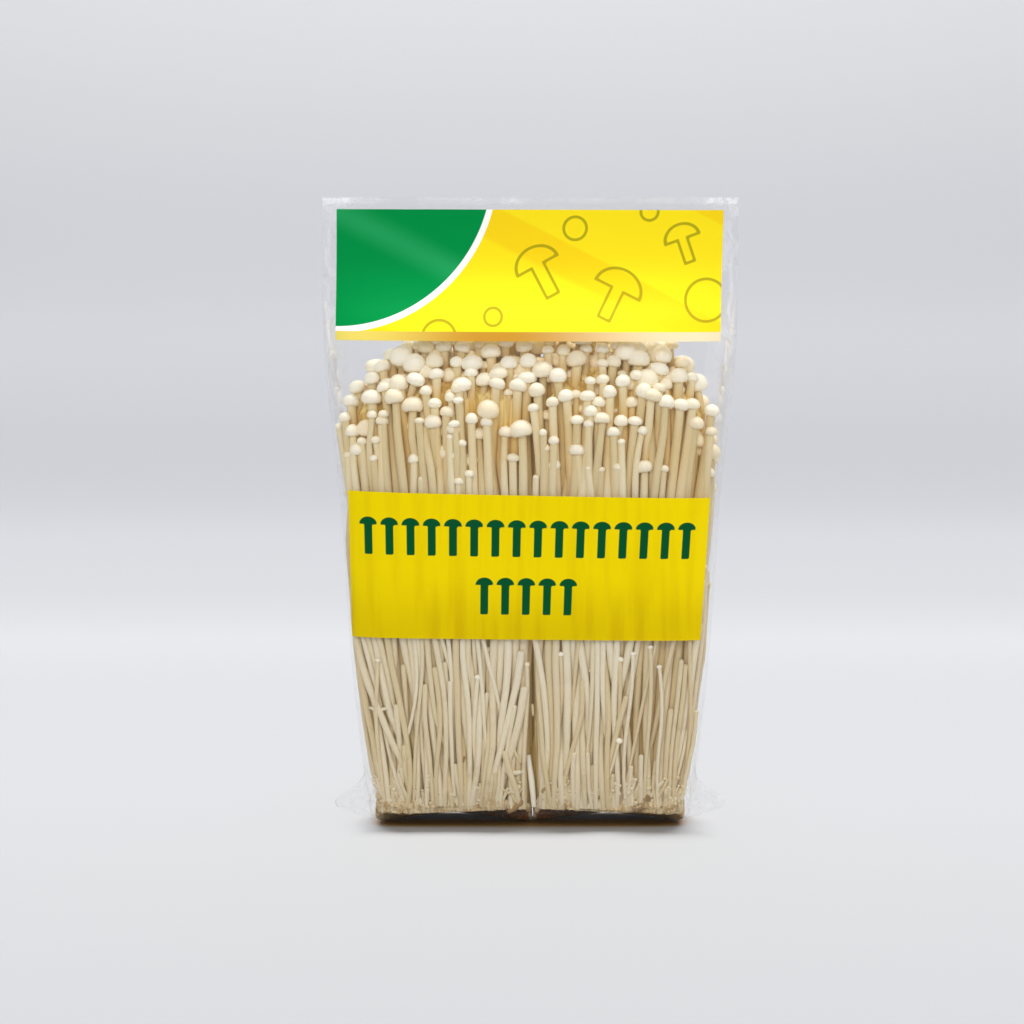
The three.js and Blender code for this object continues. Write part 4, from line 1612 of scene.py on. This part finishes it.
def mushroom_mark(across, up, x, y, size, turn=0.0, stalk=1.6, width=0.3):
    """Signed distance to the outline of a drawn mushroom whose cap's rim is at (x, y)."""
    c, s = math.cos(turn), math.sin(turn)
    a = ((across - x) * c + (up - y) * s) / size
    b = ((up - y) * c - (across - x) * s) / size
    cap = np.maximum((np.hypot(a, b / 0.85) - 1) * 0.85, -b)
    stem = np.maximum(np.abs(a) - width, np.abs(b + stalk / 2 - 0.1) - stalk / 2 - 0.1)
    return np.minimum(cap, stem) * size


def nearest(marks):
    """At each point, the signed distance whose outline is nearest."""
    marks = np.array(marks)
    return np.take_along_axis(marks, np.abs(marks).argmin(axis=0)[None], axis=0)[0]


print("from a cap's middle to its outline:", mushroom_mark(0, 0.4, 0, 0, 1).round(2))

# %% [markdown]
# ## What is printed
#
# The header has a green quarter disc with a white edge, drawn mushrooms and rings in olive line, soft
# rays and a strip of gold along its lower edge. The band carries two rows of plain dark green
# mushrooms. The marks could be cut from thin sheets and laid on top, but ink has no thickness, and a
# drawn distance has no rim that stands up. Both panels are ink under a smooth film, so one slightly
# glossy shader serves both.

# %% Ink the header
HEADER_MUSHROOMS = [(60, 22, 6.6, 0.5, 1.5, 0.3), (84, 15, 7.2, -0.45, 1.3, 0.26)]
HEADER_MUSHROOMS += [(103, 30, 5.2, 0.35, 1.4, 0.28)]
HEADER_RINGS = [(71, 33, 3.4), (47, 7, 2.6), (110.5, 12, 6.2), (31, 1, 5.0), (93, 38, 2.6)]
CORNER_DISC = (0, 50, 46)
LINE_HALF = 0.42
STRIPE = 1.8
GOLD_STRIP = 2.7


def ink_header(sheet, across, up):
    """Stores the distances that the header's finish draws from."""
    x, y, radius = CORNER_DISC
    marks = [mushroom_mark(across, up, *mark) for mark in HEADER_MUSHROOMS]
    marks += [np.hypot(across - a, up - b) - r for a, b, r in HEADER_RINGS]
    store(sheet, "mark", "FLOAT", nearest(marks))
    store(sheet, "disc", "FLOAT", np.hypot(across - x, up - y) - radius)
    store(sheet, "across", "FLOAT", across)
    store(sheet, "up", "FLOAT", up)


def edge(s, value, at, soft=0.12):
    """1 where a value lies under a limit, with a hardly softened edge."""
    return s.ranged(value, at - soft, at + soft, 1, 0)


def smooth_ink(s, base):
    """Ink under film: even, and with little gloss of its own."""
    ink = s.add("ShaderNodeBsdfPrincipled", Base_Color=base, Roughness=0.4)
    ink.inputs["Specular IOR Level"].default_value = 0.05
    return s.finish(ink.outputs[0])


header, *header_flat = printed_sheet("header", HEADER, HEADER_SIZE, header_ripple)
ink_header(header, *header_flat)
print("faces of the header:", len(header.data.polygons))

# %% The header's finish


def header_finish():
    """Yellow with rays, then lines, the white edge, the green disc and the gold strip on top."""
    s = Shader("header print")
    across, up, disc = s.attribute("across"), s.attribute("up"), s.attribute("disc")
    slant = s.math("ADD", s.math("MULTIPLY", across, 0.5), up)
    rays = s.math("SINE", s.math("DIVIDE", slant, 7.0))
    fine_rays = s.math("SINE", s.math("DIVIDE", slant, 2.9))
    light = s.ranged(s.math("ADD", rays, s.math("MULTIPLY", fine_rays, 0.5)), 0.35, 0.75, 0, 0.6)
    yellow = s.mix(light, colour("fbe21e"), colour("f5c916"))
    on_line = edge(s, s.math("ABSOLUTE", s.attribute("mark")), LINE_HALF)
    line = s.mix(s.math("MULTIPLY", on_line, 0.75), yellow, colour("8f8a17"))
    white = s.mix(edge(s, disc, STRIPE), line, colour("fdfdfb"))
    # painted sheen: a lighter streak across the green disc
    streak = s.math("ABSOLUTE", s.math("SUBTRACT", slant, 38))
    sheen = s.mix(s.ranged(streak, 7, 0, 0, 0.5), colour("008c43"), colour("2fa866"))
    green = s.mix(edge(s, disc, 0), white, sheen)
    bright = s.mix(s.ranged(across, 0, 45), colour("e2cf62"), colour("b9862b"))
    gold = s.mix(s.ranged(across, 50, 112), bright, colour("e6d3ac"))
    strip = s.mix(edge(s, up, GOLD_STRIP), green, gold)
    return smooth_ink(s, strip)


header.data.materials.append(header_finish())
print("finish of the header:", header.data.materials[0].name)

# %% Ink the band
UPPER_ROW = {"count": 16, "pitch": 6.2, "rim": 33.4}
LOWER_ROW = {"count": 5, "pitch": 6.2, "rim": 16.2}
ROW_MIDDLE = 52.2
ROW_CAP = 2.65
ROW_STALK = 3.3
ROW_WIDTH = 0.44


def ink_band(sheet, across, up):
    """Stores the distance to the nearest of the plain mushrooms in both rows."""
    marks = []
    for row in (UPPER_ROW, LOWER_ROW):
        for i in range(row["count"]):
            x = ROW_MIDDLE + (i - (row["count"] - 1) / 2) * row["pitch"]
            marks.append(mushroom_mark(across, up, x, row["rim"], ROW_CAP, 0, ROW_STALK, ROW_WIDTH))
    store(sheet, "mark", "FLOAT", nearest(marks))
    store(sheet, "up", "FLOAT", up)


def band_finish():
    """Strong yellow, duller towards the lower edge and in the folds as painted shade, with dark green
    marks.
    """
    s = Shader("band print")
    # painted shade: darker in the folds, and more so towards the slack lower edge
    folds = s.noise(1.0, 2, s.stretched((260, 1, 22)))
    low = s.ranged(s.attribute("up"), 22, 0)
    slack = s.math("ADD", 0.2, s.math("MULTIPLY", low, 0.35))
    shade = s.math("MULTIPLY", s.ranged(folds, 0.4, 0.7), slack)
    toned = s.mix(s.math("MULTIPLY", low, 0.75), colour("f0d500"), colour("d5b800"))
    yellow = s.mix(shade, toned, colour("c9a400"))
    ink = s.mix(edge(s, s.attribute("mark"), 0), yellow, colour("04512a"))
    return smooth_ink(s, ink)


band, *band_flat = printed_sheet("band", BAND, BAND_SIZE, band_ripple)
ink_band(band, *band_flat)
band.data.materials.append(band_finish())
print("faces of the band:", len(band.data.polygons))

# %% [markdown]
# ## The loose stub
#
# A broken bit of stem has slipped down between the two mats. It could be a cylinder, but the tree that
# sweeps the stems gives it the same round section and a slight bend. It is as pale as a cap, because no
# other stem shades it.

# %% Sweep the stub
STUB_PATH = [(1.2, -10.4, 5.4), (0.5, -10.6, 13), (-0.6, -10.5, 21)]
STUB_RADII = [0.8, 0.95, 0.8]
stub = mesh_piece("stub", STUB_PATH, edges=[(0, 1), (1, 2)], smooth=False)
store(stub, "thickness", "FLOAT", [radius * MM for radius in STUB_RADII])
store(stub, "tone", "FLOAT", [0, 0, 0])
store(stub, "depth", "FLOAT", [0, 0, 0])
stub = sweep.grow(stub, "stub", {"Sides": 8, "Smoothness": 6, "Material": CAP})
print("faces of the stub:", len(stub.data.polygons))

# %% [markdown]
# ## The studio
#
# A pale floor runs up into a pale wall, as a roll of paper does that is hung behind a table. It could
# be a plane with a world colour behind it, but then a hard line would show where the two meet. Its grey
# changes with height, as painted light and shade, and in the narrow shade under the pack a painted
# shadow makes it dark and warm.

# %% The paper
FLOOR_SIZE = 7.0
WALL_AT = 1.35
WALL_TOP = 3.5
CURVE = 0.9
CURVE_STEPS = 24


def studio():
    """The paper, from the floor in front through a wide curve to the wall, in metres."""
    profile = [(-FLOOR_SIZE / 2, 0), (WALL_AT - CURVE, 0)]
    for i in range(1, CURVE_STEPS + 1):
        a = i / CURVE_STEPS * math.pi / 2
        profile.append((WALL_AT - CURVE + CURVE * math.sin(a), CURVE - CURVE * math.cos(a)))
    profile.append((WALL_AT, WALL_TOP))
    points = [(x / MM, y / MM, z / MM) for y, z in profile for x in (-FLOOR_SIZE / 2, FLOOR_SIZE / 2)]
    faces = [(2 * i, 2 * i + 1, 2 * i + 3, 2 * i + 2) for i in range(len(profile) - 1)]
    return mesh_piece("studio", points, faces)


def paper_finish():
    """Painted light and shade: grey on the floor, paler up the wall, and a warm, dark painted shadow
    close under the front edge.
    """
    s = Shader("studio paper")
    x, y, height = (s.add("ShaderNodeSeparateXYZ", Vector=s.place()).outputs[k] for k in "XYZ")
    # painted light and shade: the grey changes with depth and height, as the light on the paper would
    level = s.mix(s.ranged(y, 0.0, 0.34), colour("babbbd"), colour("b4b5b7"))
    low = s.mix(s.ranged(height, 0.0, 0.028), level, colour("c1c2c5"))
    middle = s.mix(s.ranged(height, 0.03, 0.12), low, colour("eaebef"))
    grey_painted_falloff = s.mix(s.ranged(height, 0.12, 0.24), middle, colour("e7e7e9"))
    # painted shadow: dark warm brown where the paper lies hidden close under the pack's front edge
    shade = s.add("ShaderNodeAmbientOcclusion", Distance=0.012).outputs["AO"]
    hidden = s.ranged(shade, 0.75, 0.15)
    across = s.ranged(s.math("ABSOLUTE", x), 0.05, 0.042)
    below = s.math("MULTIPLY", across, s.ranged(y, 0.004, -0.006))
    warm_painted_shadow = s.mix(s.math("MULTIPLY", hidden, below), grey_painted_falloff, colour("b08a4c"))
    return s.finish(s.add("ShaderNodeBsdfPrincipled", Base_Color=warm_painted_shadow, Roughness=0.95).outputs[0])


floor = studio()
floor.data.materials.append(paper_finish())
print("faces of the paper:", len(floor.data.polygons))

# %% [markdown]
# ## The lights
#
# Three soft lights fall on the model only: one in front, one at the side and one high above. Two more
# fall on the paper only, and just the mats throw a shadow in them, since the rest of the bunch lets much
# light through. Lights that shine on everything would be simpler, but then the paper would be too bright
# wherever the mushrooms are bright enough.

# %% Tools for lights


def group_of(name, pieces):
    """A set of pieces, to say what a light falls on or what throws a shadow in it."""
    group = bpy.data.collections.new(name)
    for piece in pieces:
        group.objects.link(piece)
    return group


def soft_light(name, place, aim, size, power, falls_on, blocked_by=None):
    """A rectangular lamp that looks at a place and falls on one set of pieces."""
    light = bpy.data.lights.new(name, "AREA")
    light.shape = "RECTANGLE"
    light.size, light.size_y = size
    light.energy = power
    lamp = bpy.data.objects.new(name, light)
    lamp.location = place
    lamp.rotation_euler = (Vector(aim) - Vector(place)).to_track_quat("-Z", "Y").to_euler()
    lamp.light_linking.receiver_collection = falls_on
    lamp.light_linking.blocker_collection = blocked_by
    bpy.context.scene.collection.objects.link(lamp)
    return lamp


# %% Hang the lights
flesh_pieces = [stems_left, stems_right, caps_left, caps_right, core_left, core_right]
flesh_pieces += [mat_left, mat_right, stub]
model = group_of("the model", flesh_pieces + [film, header, band])
paper = group_of("the paper", [floor])
mats = group_of("the mats", [mat_left, mat_right])
MIDDLE = (0, 0, 0.09)
front = soft_light("front light", (-0.5, -1.85, 1.2), MIDDLE, (1.6, 1.2), 20, model)
front.visible_glossy = False
soft_light("side light", (1.5, -0.9, 0.7), MIDDLE, (0.8, 1.2), 5, model)
soft_light("high light", (0.1, 0.16, 1.75), MIDDLE, (1.4, 0.6), 44, model)
behind = soft_light("floor light", (0, 6.6, 3.3), (0, 0, 0), (7.2, 2.0), 1700, paper, mats)
behind.visible_glossy = False
wall_light = soft_light("wall light", (0, -0.3, 1.0), (0, 1.35, 0.5), (1.6, 0.5), 3.0, paper, mats)
wall_light.visible_glossy = False
wall_light.data.spread = math.radians(60)
print("lights:", len(bpy.data.lights))

# %% [markdown]
# ## The air and the camera
#
# The world adds an even, slightly cool light from all sides, as a bright room does. The camera stands a
# little above the pack and looks down at it by five degrees, far enough away for its lines to stay
# nearly upright.

# %% World and render settings
AIR_COLOUR = (0.95, 0.96, 1, 1)
AIR_STRENGTH = 0.45
world = bpy.data.worlds.new("studio air")
bpy.context.scene.world = world
world.use_nodes = True
world.node_tree.nodes["Background"].inputs[0].default_value = AIR_COLOUR
world.node_tree.nodes["Background"].inputs[1].default_value = AIR_STRENGTH

# light has to pass several layers of clear film, and goes back and forth between the pale stems
scene = bpy.context.scene
scene.view_settings.view_transform = "Standard"
scene.cycles.max_bounces = 16
scene.cycles.diffuse_bounces = 8
scene.cycles.transparent_max_bounces = 24
print("bounces:", scene.cycles.max_bounces, "and through film:", scene.cycles.transparent_max_bounces)

# %% The camera
RENDER_SIZE = 1024
SENSOR = 36
MM_PER_PIXEL = 0.3
DISTANCE = 1.15
ELEVATION = math.radians(5)
target = Vector((-5.4 * MM, 0, 93 * MM))
camera_data = bpy.data.cameras.new("camera")
camera_data.sensor_width = SENSOR
camera_data.lens = SENSOR * DISTANCE / (RENDER_SIZE * MM_PER_PIXEL * MM)
camera = bpy.data.objects.new("camera", camera_data)
camera.location = target + DISTANCE * Vector((0, -math.cos(ELEVATION), math.sin(ELEVATION)))
camera.rotation_euler = (target - camera.location).to_track_quat("-Z", "Y").to_euler()
scene.collection.objects.link(camera)
scene.camera = camera
print("lens:", round(camera_data.lens, 1), "mm")

# %% [markdown]
# ## What each piece stands for
#
# Nothing on the pack moves, so every piece rides on the root. Each one takes the place of a plain solid:
# both clumps are replaced by their stems, caps, core and mat.

# %% Attach each piece to the root and hide the solids it replaces
FINISHES = {
    "mushroom": flesh_pieces,
    "film": [film],
    "header": [header],
    "band": [band],
}
for slot_name, pieces in FINISHES.items():
    for piece in pieces:
        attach(piece, "root")
for piece in (stems_left, caps_left, core_left, mat_left):
    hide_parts("clump_left")
for piece in (stems_right, caps_right, core_right, mat_right):
    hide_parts("clump_right")
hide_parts("loose_stub")
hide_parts("film_bag")
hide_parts("header_panel")
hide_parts("band_label")
print("pieces:", sum(len(pieces) for pieces in FINISHES.values()))
